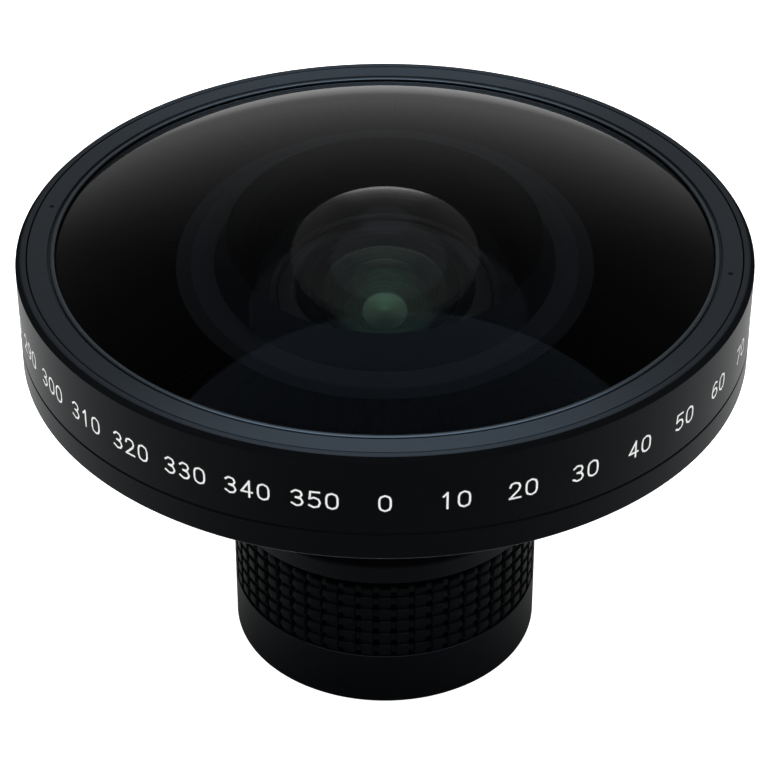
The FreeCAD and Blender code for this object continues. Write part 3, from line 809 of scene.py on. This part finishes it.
CLEAR, PAINTED, GROUND, HOLLOW = range(4)


def lens(piece_name, node, body, materials, rear, wall, front, wall_slots=None, rear_slot=CLEAR):
    """Turned lens from its rear surface, its wall's corners and its front surface."""
    wall_slots = wall_slots or [PAINTED] * (len(wall) + 1)
    slots = [rear_slot] * (len(rear) - 1) + wall_slots + [CLEAR] * len(front)
    place(lathe(piece_name, rear + wall + front[::-1], slots), body, "optical_glass", materials, node)


def front_glass():
    """Front meniscus: clear dome and hollow, painted back and edge, ground ring round the hollow."""
    name = "front_element"
    back, top, _ = extent(name)
    rear = from_rim(back + HOLLOW_BEVEL_HEIGHT, HOLLOW_CURVE, HOLLOW_APERTURE, HOLLOW_STEPS)
    wall = [(HOLLOW_BEVEL_RADIUS, back), (HOLLOW_RING_RADIUS, back), (FRONT_RADIUS, back)]
    front = surface(top, FRONT_CURVE, FRONT_RADIUS, DOME_STEPS)
    lens("front_glass", name, "front", [FRONT_GLASS, GLASS_PAINT, GLASS_GROUND, HOLLOW_GLASS],
         rear, wall, front, [GROUND, GROUND, PAINTED, PAINTED], HOLLOW)


def second_glass():
    """Meniscus behind the front glass."""
    name = "second_element"
    bottom, top, radius = extent(name)
    rear = from_rim(bottom, SECOND_REAR_CURVE, SECOND_REAR_APERTURE, SECOND_STEPS)
    front = surface(top, SECOND_FRONT_CURVE, radius, SECOND_STEPS)
    lens("second_glass", name, "front", [INNER_GLASS, GLASS_PAINT], rear, [(radius, bottom)], front)


def third_glass():
    """Glass with a hollow on both sides."""
    name = "third_element"
    bottom, top, radius = extent(name)
    rear = from_rim(bottom, THIRD_REAR_CURVE, THIRD_REAR_APERTURE, THIRD_STEPS)
    front = from_rim(top, THIRD_FRONT_CURVE, THIRD_FRONT_APERTURE, THIRD_STEPS, hollow=True)
    lens("third_glass", name, "front", [INNER_GLASS, GLASS_PAINT],
         rear, [(radius, bottom), (radius, top)], front)


def macro_glass():
    """The cemented pair, parted by a hair-thin film so that no two faces coincide."""
    bottom, _, radius = extent("macro_rear_element")
    vertex, top, _ = extent("macro_front_element")
    rear = from_rim(bottom, MACRO_REAR_CURVE, MACRO_REAR_APERTURE, MACRO_REAR_STEPS)
    cement = surface(vertex, MACRO_CEMENT_CURVE, radius, MACRO_STEPS, hollow=True)
    materials = [MACRO_GLASS, GLASS_PAINT]
    lens("macro_flint", "macro_rear_element", "grip", materials, rear, [(radius, bottom)], cement)
    lifted = [(reach, height + CEMENT_FILM) for reach, height in cement]
    dome = surface(top, MACRO_FRONT_CURVE, radius, MACRO_STEPS)
    lens("macro_crown", "macro_front_element", "grip", materials, lifted, [], dome)


# Head

def profile_slots(profile, *rules):
    """Slots for profile edges: 1, 2 and so on inside the rules' (low radius, low height, high height)."""
    slots = []
    for here, there in zip(profile, profile[1:] + profile[:1]):
        reach = min(here[0], there[0]) + BAND_SLACK
        low, high = sorted((here[1], there[1]))
        found = [number for number, (near, bottom, top) in enumerate(rules, 1)
                 if reach > near and low > bottom - BAND_SLACK and high < top + BAND_SLACK]
        slots.append(found[0] if found else 0)
    return slots


def turned(name, corners, *rules):
    """Turned piece with rounded corners whose profile edges take their slots by the rules."""
    profile = soften(corners)
    return lathe(name, profile, profile_slots(profile, *rules))


def retaining_ring():
    """Front ring: flat turned face, fine groove, bead over the glass and two spanner holes."""
    name = "front_retaining_ring"
    low, top, outer = extent(name)
    bead_outer = RING_BORE + RING_BEAD_WIDTH
    groove_outer = bead_outer + RING_GROOVE_WIDTH
    bead_inner = RING_BORE - RING_BEAD_REACH
    bead_top = top - RING_BEAD_DROP
    bead_low = bead_top - RING_BEAD_HEIGHT
    profile = soften([
        (RING_SKIRT_BORE, low),
        (outer, low, CRISP_EDGE),
        (outer, top, 3 * CRISP_EDGE),
        (groove_outer, top, CRISP_EDGE),
        (groove_outer, top - RING_GROOVE_DEPTH),
        (bead_outer, top - RING_GROOVE_DEPTH),
        (bead_outer, bead_top, RING_BEAD_EDGE),
        (bead_inner, bead_top, RING_BEAD_EDGE),
        (bead_inner, bead_low),
        (RING_BORE, bead_low - RING_LIP),
        (RING_FOOT, low + RING_FOOT_HEIGHT),
        (RING_FOOT, low + RING_FOOT_HEIGHT + RING_FOOT_STEP),
        (RING_SKIRT_BORE, low + RING_SKIRT_LIP),
    ])
    slots = [int(max(here[0], there[0]) <= bead_outer and min(here[1], there[1]) > bead_low - RING_LIP)
             for here, there in zip(profile, profile[1:] + profile[:1])]
    piece = lathe("retaining_ring", profile, slots)
    for turn in turns(2, math.radians(SPANNER_TURN)):
        hole = circle(polar(SPANNER_CIRCLE, turn), SPANNER_RADIUS)
        cut(piece, prism("spanner_hole", hole, top - SPANNER_DEPTH, top + CUTTER_REACH))
    place(piece, "front", "ring_black", [RING, BEAD], name)


def sleeve():
    """Engraved sleeve with its front bevel and the seam's small bevel."""
    name = "head_sleeve"
    low, top, outer = extent(name)
    piece = turned("engraved_sleeve", [
        (SLEEVE_BORE, low),
        (outer - SEAM_DEPTH, low, HAIR_EDGE),
        (outer, low + SEAM_WIDTH, PLAIN_EDGE),
        (outer, top - SLEEVE_BEVEL, SOFT_EDGE),
        (outer - SLEEVE_BEVEL, top, THIN_EDGE),
        (SLEEVE_BORE, top),
    ], (SLEEVE_BORE, top - FACE_BAND, top), (SLEEVE_BORE, top - SLEEVE_BEVEL - BEVEL_BAND, top))
    place(piece, "front", "sleeve_black", [SLEEVE, LAND, BEVEL], name)


def housing():
    """Cup with its stepped floor, lower rim and band."""
    name = "front_housing"
    low, top, outer = extent(name)
    rim = low + CUP_STEP
    seam = rim + CUP_BAND
    piece = turned("housing_cup", [
        (CUP_FLOOR_BORE, low, PLAIN_EDGE),
        (CUP_FLOOR_RADIUS, low, PLAIN_EDGE),
        (CUP_FLOOR_RADIUS, rim),
        (outer - CUP_EDGE, rim, FINE_EDGE),
        (outer, rim + CUP_EDGE, EASED_EDGE),
        (outer, seam - SEAM_WIDTH, PLAIN_EDGE),
        (outer - SEAM_DEPTH, seam, HAIR_EDGE),
        (CUP_RADIUS, seam),
        (CUP_RADIUS, top, CRISP_EDGE),
        (CUP_THREAD_BORE, top, BROAD_EDGE),
        (CUP_THREAD_BORE, top - CUP_THREAD),
        (CUP_GLASS_BORE, top - CUP_THREAD),
        (CUP_GLASS_BORE, low + CUP_FLOOR),
        (CUP_FLOOR_BORE, low + CUP_FLOOR, PLAIN_EDGE),
    ], (CUP_THREAD_BORE, top - FACE_BAND, top), (outer - CUP_EDGE, rim, rim + CUP_EDGE),
        (CUP_RADIUS, seam - SEAM_WIDTH - EDGE_BAND, seam))
    # The lower rim's chamfer takes the lighter colour that paints a highlight line.
    place(piece, "front", "anodised_black", [HOUSING, LAND, HIGHLIGHT_EDGE, BEVEL], name)


# Neck

def trumpet():
    """Trumpet housing with its spigot thread, seats for two glasses and the screwed flange."""
    name = "rear_cone"
    low, top, _ = extent(name)
    collar_face = low + SPIGOT_LENGTH
    start = collar_face + NECK_LENGTH
    flange = top - FLANGE_THICKNESS
    third_floor = extent("third_element")[0]
    ledge = third_floor - THIRD_LEDGE
    second_floor = extent("second_element")[0]
    second_top = second_floor + SECOND_EDGE
    curve = []
    for step in range(1, TRUMPET_STEPS + 1):
        angle = math.pi / 2 * step / TRUMPET_STEPS
        curve.append((NECK_RADIUS + TRUMPET_RADIUS * (1 - math.cos(angle)),
                      start + TRUMPET_RADIUS * math.sin(angle)))
    thread_low = low + SPIGOT_EDGE
    thread_high = collar_face - SPIGOT_EDGE
    profile = [(NECK_BORE, low), (SPIGOT_RADIUS - SPIGOT_EDGE, low)]
    profile += thread_points(SPIGOT_RADIUS, thread_low, thread_high)
    profile += [(SPIGOT_RADIUS, collar_face), (NECK_RADIUS, collar_face), (NECK_RADIUS, start)]
    profile += curve
    profile += [
        (FLANGE_RADIUS - PLAIN_EDGE, flange), (FLANGE_RADIUS, flange + PLAIN_EDGE), (FLANGE_RADIUS, top),
        (SECOND_RING_BORE, top), (SECOND_RING_BORE, second_top), (SECOND_BORE, second_top),
        (SECOND_BORE, second_floor), (THIRD_BORE, second_floor), (THIRD_BORE, third_floor),
        (THIRD_REAR_APERTURE, third_floor), (THIRD_REAR_APERTURE, ledge), (NECK_BORE, ledge),
    ]
    piece = lathe("trumpet_housing", profile, sides=TRUMPET_SIDES,
                  shape=threaded(SPIGOT_RADIUS, thread_low, thread_high))
    head = SCREW_HEAD + SCREW_GAP
    shank = SCREW_SHANK + SCREW_GAP
    hole = [(head + HOLE_FLARE, flange - HOLE_FLARE), (head, flange),
            (shank, flange + SCREW_TAPER), (shank, top + CUTTER_REACH)]
    for turn in turns(SCREW_COUNT):
        cut(piece, upright_turned("screw_hole", polar(SCREW_CIRCLE, turn), hole))
    place(piece, "front", "anodised_black", [NECK], name)


def flange_screws():
    """Countersunk screws with cross recesses under the trumpet's flange."""
    name = "cone_screws"
    face, end, _ = extent(name)
    rings = [(SCREW_HEAD - SCREW_BEVEL[0], face), (SCREW_HEAD, face + SCREW_BEVEL[1]),
             (SCREW_SHANK, face + SCREW_TAPER), (SCREW_SHANK, end)]
    piece = upright_turned("flange_screws", (SCREW_CIRCLE, 0), rings)
    half = DRIVER_WIDTH / 2
    quarter = [(half, -DRIVER_REACH), (half, -half), (DRIVER_REACH, -half)]
    cross = []
    for turn in turns(4):
        cross += turned_about(quarter, turn)
    outline = [(x + SCREW_CIRCLE, y) for x, y in turned_about(cross, DRIVER_TURN)]
    cut(piece, prism("driver_recess", outline, face - CUTTER_REACH, face + DRIVER_DEPTH))
    repeat_around(piece, SCREW_COUNT, STEEL)
    place(piece, "front", "blackened_steel", [], name)


def collar():
    """Smooth ring round the neck with its grub-screw holes."""
    name = "neck_collar"
    low, top, outer = extent(name)
    piece = turned("collar_ring", [
        (COLLAR_BORE, low),
        (outer - COLLAR_EDGE, low, CRISP_EDGE),
        (outer, low + COLLAR_EDGE, EASED_EDGE),
        (outer, top - COLLAR_EDGE, EASED_EDGE),
        (outer - COLLAR_EDGE, top, CRISP_EDGE),
        (COLLAR_BORE, top),
    ], (COLLAR_BORE, top - COLLAR_EDGE - EDGE_BAND, top))
    for turn in turns(GRUB_COUNT, math.pi / 2):
        cut(piece, radial_pin("grub_hole", GRUB_RADIUS + SCREW_GAP, COLLAR_BORE - CUTTER_REACH,
                              outer + CUTTER_REACH, (low + top) / 2, turn))
    place(piece, "front", "anodised_black", [NECK, BEVEL], name)


def grub_screws():
    """Grub screws with hexagon sockets."""
    low, top, outer = extent("neck_collar")
    outer -= GRUB_SINK
    middle = (low + top) / 2
    turn = math.pi / 2
    piece = radial_pin("grub_screws", GRUB_RADIUS, COLLAR_BORE, outer, middle, turn)
    cut(piece, radial_pin("hex_socket", GRUB_SOCKET, outer - GRUB_SOCKET_DEPTH, outer + CUTTER_REACH,
                          middle, turn, HEX_SIDES))
    repeat_around(piece, GRUB_COUNT, STEEL)
    place(piece, "front", "blackened_steel", [], "collar_screws")


# Grip

def grip_core():
    """Grip under its pads: plain band, shoulder for the pair, socket for the spigot."""
    name = "rear_barrel"
    low, top, _ = extent(name)
    pads_start = low + FIRST_GROOVE - GROOVE_WIDTH / 2
    floor = BARREL_RADIUS - FLUTE_DEPTH
    profile = soften([
        (FLANGE_BORE, low),
        (BARREL_RADIUS - BARREL_EDGE, low, EASED_EDGE),
        (BARREL_RADIUS, low + BARREL_EDGE, ROUND_EDGE),
        (BARREL_RADIUS, pads_start, PLAIN_EDGE),
        (floor, pads_start),
        (floor, top, THIN_EDGE),
        (SOCKET_RADIUS, top, FINE_EDGE),
        (SOCKET_RADIUS, top - SOCKET_DEPTH),
        (MACRO_BORE, top - SOCKET_DEPTH),
        (MACRO_BORE, low + SHOULDER_TOP),
        (SHOULDER_BORE, low + SHOULDER_TOP, FINE_EDGE),
        (SHOULDER_BORE, low + FLANGE_POCKET),
        (FLANGE_BORE, low + FLANGE_POCKET),
    ])
    place(lathe("grip_core", profile), "grip", "grip_black", [GRIP], name)


def pad_edge():
    """Rounded edge of a pad: distances in from its side wall and how far the face drops there."""
    away = [PAD_EDGE * part for part in PAD_EDGE_PARTS]
    return [(reach, PAD_EDGE - math.sqrt(PAD_EDGE ** 2 - (PAD_EDGE - reach) ** 2)) for reach in away]


def grip_pads():
    """Ribs between the milled flutes, each crossed by the turned grooves."""
    low, top, _ = extent("rear_barrel")
    root = BARREL_RADIUS - FLUTE_DEPTH - PAD_ROOT
    groove_floor = BARREL_RADIUS - GROOVE_DEPTH
    half_groove = GROOVE_WIDTH / 2
    edge = pad_edge()
    stations = []
    for row in range(GROOVE_ROWS):
        centre = low + FIRST_GROOVE + GROOVE_PITCH * row
        stations += [(centre - half_groove, None), (centre + half_groove, None)]
        stations += [(centre + half_groove + away, drop) for away, drop in edge]
        if row < GROOVE_ROWS - 1:
            following = centre + GROOVE_PITCH - half_groove
            stations += [(following - away, drop) for away, drop in reversed(edge)]
    stations += [(top - BARREL_RIM, 0.0), (top - PAD_TOP_GAP, BARREL_RIM)]

    half_pad = math.pi / PAD_COLUMNS - math.asin(FLUTE_WIDTH / 2 / BARREL_RADIUS)
    sides = [(away / BARREL_RADIUS - half_pad, drop) for away, drop in edge]
    across = [(-half_pad, None)] + sides + [(0.0, 0.0)]
    across += [(-turn, drop) for turn, drop in reversed(sides)] + [(half_pad, None)]

    rings = []
    for height, drop in stations:
        ring = []
        for turn, side_drop in across:
            if side_drop is None:
                reach = root
            elif drop is None:
                reach = groove_floor
            else:
                reach = BARREL_RADIUS - min(max(drop, PAD_EDGE), math.hypot(drop, side_drop))
            ring.append((*polar(reach, math.pi / PAD_COLUMNS + turn), height))
        rings.append(ring)
    piece = stacked("grip_pads", rings)
    repeat_around(piece, PAD_COLUMNS, PADS)
    place(piece, "grip", "grip_black", [])


def mount_ring():
    """Rear ring with its 37 mm thread and two spanner slots."""
    name = "rear_mount_ring"
    top = extent(name)[1]
    fine = FINE_EDGE
    thread_high = MOUNT_LENGTH - 2 * fine
    profile = [(MOUNT_BORE + fine, 0), (MOUNT_RADIUS - MOUNT_EDGE, 0)]
    profile += thread_points(MOUNT_RADIUS, MOUNT_EDGE, thread_high)
    profile += [
        (MOUNT_RADIUS - 2 * fine, MOUNT_LENGTH), (MOUNT_FLANGE - fine, MOUNT_LENGTH),
        (MOUNT_FLANGE, MOUNT_LENGTH + fine), (MOUNT_FLANGE, top), (MOUNT_BORE, top), (MOUNT_BORE, fine),
    ]
    piece = lathe("mount_ring", profile, shape=threaded(MOUNT_RADIUS, MOUNT_EDGE, thread_high))
    near = MOUNT_BORE - SLOT_REACH
    far = MOUNT_BORE + SLOT_REACH
    half = SLOT_WIDTH / 2
    slot = [(near, -half), (far, -half), (far, half), (near, half)]
    for turn in turns(2):
        cut(piece, prism("spanner_slot", turned_about(slot, turn), -CUTTER_REACH, SLOT_DEPTH))
    place(piece, "grip", "anodised_black", [HOUSING], name)


# Engraved scale: each digit as strokes on a field of 100 by 100.
DIGIT_FIELD = 100
DIGIT_STROKES = {
    "0": [[(50, 0), (12, 10), (0, 30), (0, 70), (12, 90), (50, 100), (88, 90), (100, 70), (100, 30),
           (88, 10), (50, 0)]],
    "1": [[(20, 78), (55, 100), (55, 0)]],
    "2": [[(2, 74), (12, 92), (45, 100), (82, 93), (96, 72), (82, 50), (0, 0), (100, 0)]],
    "3": [[(4, 85), (35, 100), (78, 94), (93, 75), (78, 57), (40, 53)],
          [(40, 53), (85, 45), (100, 25), (82, 6), (42, 0), (2, 14)]],
    "4": [[(74, 0), (74, 100), (0, 30), (100, 30)]],
    "5": [[(92, 100), (14, 100), (6, 55), (45, 64), (86, 55), (100, 32), (84, 8), (42, 0), (2, 12)]],
    "6": [[(86, 92), (50, 100), (16, 82), (0, 45), (6, 15), (42, 0), (84, 8), (100, 30), (86, 52),
           (50, 60), (10, 48)]],
    "7": [[(0, 100), (100, 100), (35, 0)]],
    "8": [[(50, 54), (12, 64), (6, 83), (25, 97), (50, 100), (75, 97), (94, 83), (88, 64), (50, 54),
           (8, 42), (0, 22), (15, 4), (50, 0), (85, 4), (100, 22), (92, 42), (50, 54)]],
    "9": [[(14, 8), (50, 0), (84, 18), (100, 55), (94, 85), (58, 100), (16, 92), (0, 70), (14, 48),
           (50, 40), (90, 52)]],
}


def split_strokes(path, left, low):
    """A digit's path on the unrolled sleeve, in short steps and parted at its sharp corners."""
    corners = [Vector((left + x / DIGIT_FIELD * DIGIT_WIDTH, low + y / DIGIT_FIELD * DIGIT_HEIGHT))
               for x, y in path]
    spots = corners[:1]
    for here, there in zip(corners, corners[1:]):
        count = math.ceil((there - here).length / STROKE_STEP)
        spots += [here.lerp(there, step / count) for step in range(1, count + 1)]
    strokes = [spots[:1]]
    for index in range(1, len(spots)):
        strokes[-1].append(spots[index])
        if index + 1 == len(spots):
            break
        if (spots[index] - spots[index - 1]).angle(spots[index + 1] - spots[index]) > SHARP_TURN:
            strokes.append([spots[index]])
    return strokes


def stroke_edges(spots):
    """Both edges of one engraved stroke, as pairs of points; its open ends reach a little further."""
    if (spots[0] - spots[-1]).length > STROKE:
        reach = STROKE / 2
        spots = [spots[0] + (spots[0] - spots[1]).normalized() * reach] + spots[1:-1] + [
            spots[-1] + (spots[-1] - spots[-2]).normalized() * reach]
    pairs = []
    for index, spot in enumerate(spots):
        before = spots[index - 1] if index else spot
        after = spots[index + 1] if index + 1 < len(spots) else spot
        along = (after - before).normalized()
        across = Vector((-along.y, along.x)) * STROKE / 2
        pairs.append((spot + across, spot - across))
    return pairs


def add_stroke(points, faces, pairs, radius):
    """Thin strip of paint on the sleeve with closed edges, running right as seen from the front."""
    start = len(points)
    for left, right in pairs:
        for spot, lift in ((left, STROKE_LIFT), (right, STROKE_LIFT), (right, -STROKE_ROOT),
                           (left, -STROKE_ROOT)):
            points.append((*polar(radius + lift, spot.x / radius - math.pi / 2), spot.y))
    for index in range(len(pairs) - 1):
        here = start + index * 4
        for side in range(4):
            following = (side + 1) % 4
            faces.append((here + side, here + 4 + side, here + 4 + following, here + following))
    last = start + (len(pairs) - 1) * 4
    faces.append((start, start + 1, start + 2, start + 3))
    faces.append((last + 3, last + 2, last + 1, last))


def engraved_scale():
    """Plain degree numbers round the sleeve."""
    radius = extent("head_sleeve")[2] - SCALE_SINK
    points = []
    faces = []
    for mark in range(0, 360, SCALE_STEP):
        text = str(mark)
        width = len(text) * DIGIT_WIDTH + (len(text) - 1) * DIGIT_GAP
        left = math.radians(mark) * radius - width / 2
        for place_number, digit in enumerate(text):
            start = left + place_number * (DIGIT_WIDTH + DIGIT_GAP)
            for path in DIGIT_STROKES[digit]:
                for spots in split_strokes(path, start, SCALE_HEIGHT):
                    add_stroke(points, faces, stroke_edges(spots), radius)
    piece = build_mesh("scale_numbers", points, faces)
    place(piece, "front", "sleeve_black", [PAINT])


# Stage

def set_camera():
    """The photo's view of the lens."""
    data = bpy.data.cameras.new("photo_view")
    data.lens = LENS_MM
    data.sensor_width = SENSOR_MM
    data.clip_start = CLIP_START
    camera = link("photo_view", data)
    tilt = math.radians(VIEW_ELEVATION)
    camera.location = (
        VIEW_TARGET[0] * MM,
        (VIEW_TARGET[1] - VIEW_DISTANCE * math.cos(tilt)) * MM,
        (VIEW_TARGET[2] + VIEW_DISTANCE * math.sin(tilt)) * MM,
    )
    camera.rotation_euler = (math.pi / 2 - tilt, 0, 0)
    bpy.context.scene.camera = camera


def set_lamps():
    """Soft lamps that light the part but leave no mirror image."""
    for name, (spot, aim, size, power) in LAMPS.items():
        data = bpy.data.lights.new(name, "AREA")
        data.shape = "RECTANGLE"
        data.size, data.size_y = size
        data.energy = power
        lamp = link(name, data)
        lamp.location = spot
        direction = Vector((0, 0, aim)) - Vector(spot)
        lamp.rotation_euler = direction.to_track_quat("-Z", "Y").to_euler()
        lamp.visible_glossy = False
        lamp.visible_transmission = False


def set_world():
    """Dim room with a glow low behind the part; the camera sees white."""
    world = bpy.data.worlds.new("room")
    world.use_nodes = True
    bpy.context.scene.world = world
    tree = world.node_tree
    tree.nodes.clear()
    direction = split_vector(tree, tree.nodes.new("ShaderNodeTexCoord").outputs["Generated"])
    away = calc(tree, "DIVIDE", direction["Y"], flat_length(tree, direction))
    away = smooth_step(tree, away, GLOW_WIDTH, 1.0, GLOW_SIDE, 1.0)
    glow = smooth_step(tree, direction["Z"], 0.0, GLOW_TOP, GLOW, 0.0)
    path = tree.nodes.new("ShaderNodeLightPath").outputs
    room = map_range(tree, path["Is Singular Ray"], ROOM, GLASS_ROOM)
    level = ("ADD", ("MULTIPLY", glow, away), room)
    level = ("MAXIMUM", level, ("MULTIPLY", path["Is Diffuse Ray"], ROOM_LIGHT))
    strength = calc(tree, "MAXIMUM", level, path["Is Camera Ray"])
    light = add_node(tree, "ShaderNodeBackground", {"Color": (1, 1, 1, 1), "Strength": strength})
    add_node(tree, "ShaderNodeOutputWorld", {0: light.outputs[0]})


def stage_sheet(name, outline, height):
    """Flat sheet of the stage and the empty tree of its material."""
    mesh = bpy.data.meshes.new(name)
    mesh.from_pydata([(x, y, height) for x, y in outline], [], [tuple(range(len(outline)))])
    material = bpy.data.materials.new(name)
    material.use_nodes = True
    material.node_tree.nodes.clear()
    mesh.materials.append(material)
    return link(name, mesh), material.node_tree


def add_glow(tree, under, colour, level):
    """A shader with a glow on top, as the tree's result."""
    glow = add_node(tree, "ShaderNodeEmission", {"Color": (*colour, 1), "Strength": level})
    both = add_node(tree, "ShaderNodeAddShader", {0: under.outputs[0], 1: glow.outputs[0]})
    add_node(tree, "ShaderNodeOutputMaterial", {0: both.outputs[0]})


def set_floor():
    """Pale floor: white to the camera with the part's cast shadow; in reflections a dimmer painted glow,
    brighter behind the part, with a painted shadow round it.
    """
    corners = [(x * FLOOR_REACH, y * FLOOR_REACH) for x, y in ((-1, -1), (1, -1), (1, 1), (-1, 1))]
    floor, tree = stage_sheet("floor", corners, -FLOOR_DROP)
    spot = split_vector(tree, tree.nodes.new("ShaderNodeNewGeometry").outputs["Position"])
    distance = flat_length(tree, spot)
    # Painted light in reflections: brighter behind the part than in front.
    behind = map_range(tree, calc(tree, "DIVIDE", spot["Y"], distance), 0.0, 1.0, -1.0)
    level = ("ADD", ("MULTIPLY", ("POWER", behind, FLOOR_TURN), FLOOR_RISE), FLOOR_FRONT)
    # Painted shadow close round the part, and a painted fall with distance.
    shade = smooth_step(tree, distance, *FLOOR_SHADE, 1.0)
    fall = smooth_step(tree, distance, FLOOR_FALL[0], FLOOR_FALL[1], 1.0, FLOOR_FALL[2])
    level = ("MULTIPLY", level, ("MULTIPLY", shade, fall))
    path = tree.nodes.new("ShaderNodeLightPath").outputs
    mirrored = calc(tree, "MAXIMUM", path["Is Glossy Ray"], path["Is Transmission Ray"])
    paper = add_node(tree, "ShaderNodeBsdfDiffuse", {
        "Color": map_range(tree, mirrored, FLOOR_COLOUR, 0.0)})
    seen = ("MULTIPLY", path["Is Camera Ray"], FLOOR_SEEN)
    strength = calc(tree, "MAXIMUM", ("MULTIPLY", mirrored, level), seen)
    add_glow(tree, paper, (1, 1, 1), strength)


def ceiling_panel(name, spot, radius, height, on_metal, on_glass, in_glass):
    """Round clear panel overhead that only reflections show; the last three are its levels there."""
    panel, tree = stage_sheet(name, circle(spot, radius, PANEL_SIDES), height)
    panel.visible_camera = False
    panel.visible_diffuse = False
    panel.visible_shadow = False
    path = tree.nodes.new("ShaderNodeLightPath").outputs
    level = map_range(tree, path["Is Transmission Ray"], on_glass - on_metal, in_glass - on_metal)
    level = calc(tree, "ADD", ("MULTIPLY", path["Is Singular Ray"], level), on_metal)
    add_glow(tree, tree.nodes.new("ShaderNodeBsdfTransparent"), PANEL_COLOUR, level)


NODE_FINISHES = (
    (BAFFLE, "macro_retaining_ring", "light_baffle", "element_spacer"),
    (INNER_RING, "second_retaining_ring", "inner_baffle"),
    (RUBBER, "neck_seal", "front_gasket"),
    (HOUSING, "rear_mount_ring", "front_housing"),
    (NECK, "rear_cone", "neck_collar"),
    (STEEL, "cone_screws", "collar_screws"),
    (GRIP, "rear_barrel"),
    (SLEEVE, "head_sleeve"),
    (RING, "front_retaining_ring"),
    (FRONT_GLASS, "front_element"),
    (INNER_GLASS, "second_element", "third_element"),
    (MACRO_GLASS, "macro_front_element", "macro_rear_element"),
)
for finish in NODE_FINISHES:
    dress(*finish)
PIECES = (
    front_glass, second_glass, third_glass, macro_glass, retaining_ring, sleeve, housing, trumpet,
    flange_screws, collar, grub_screws, grip_core, grip_pads, mount_ring, engraved_scale,
)
for make_piece in PIECES:
    make_piece()
set_camera()
set_world()
set_floor()
for panel_name, panel in PANELS.items():
    ceiling_panel(panel_name, *panel)
set_lamps()
bpy.context.scene.view_settings.view_transform = "Standard"
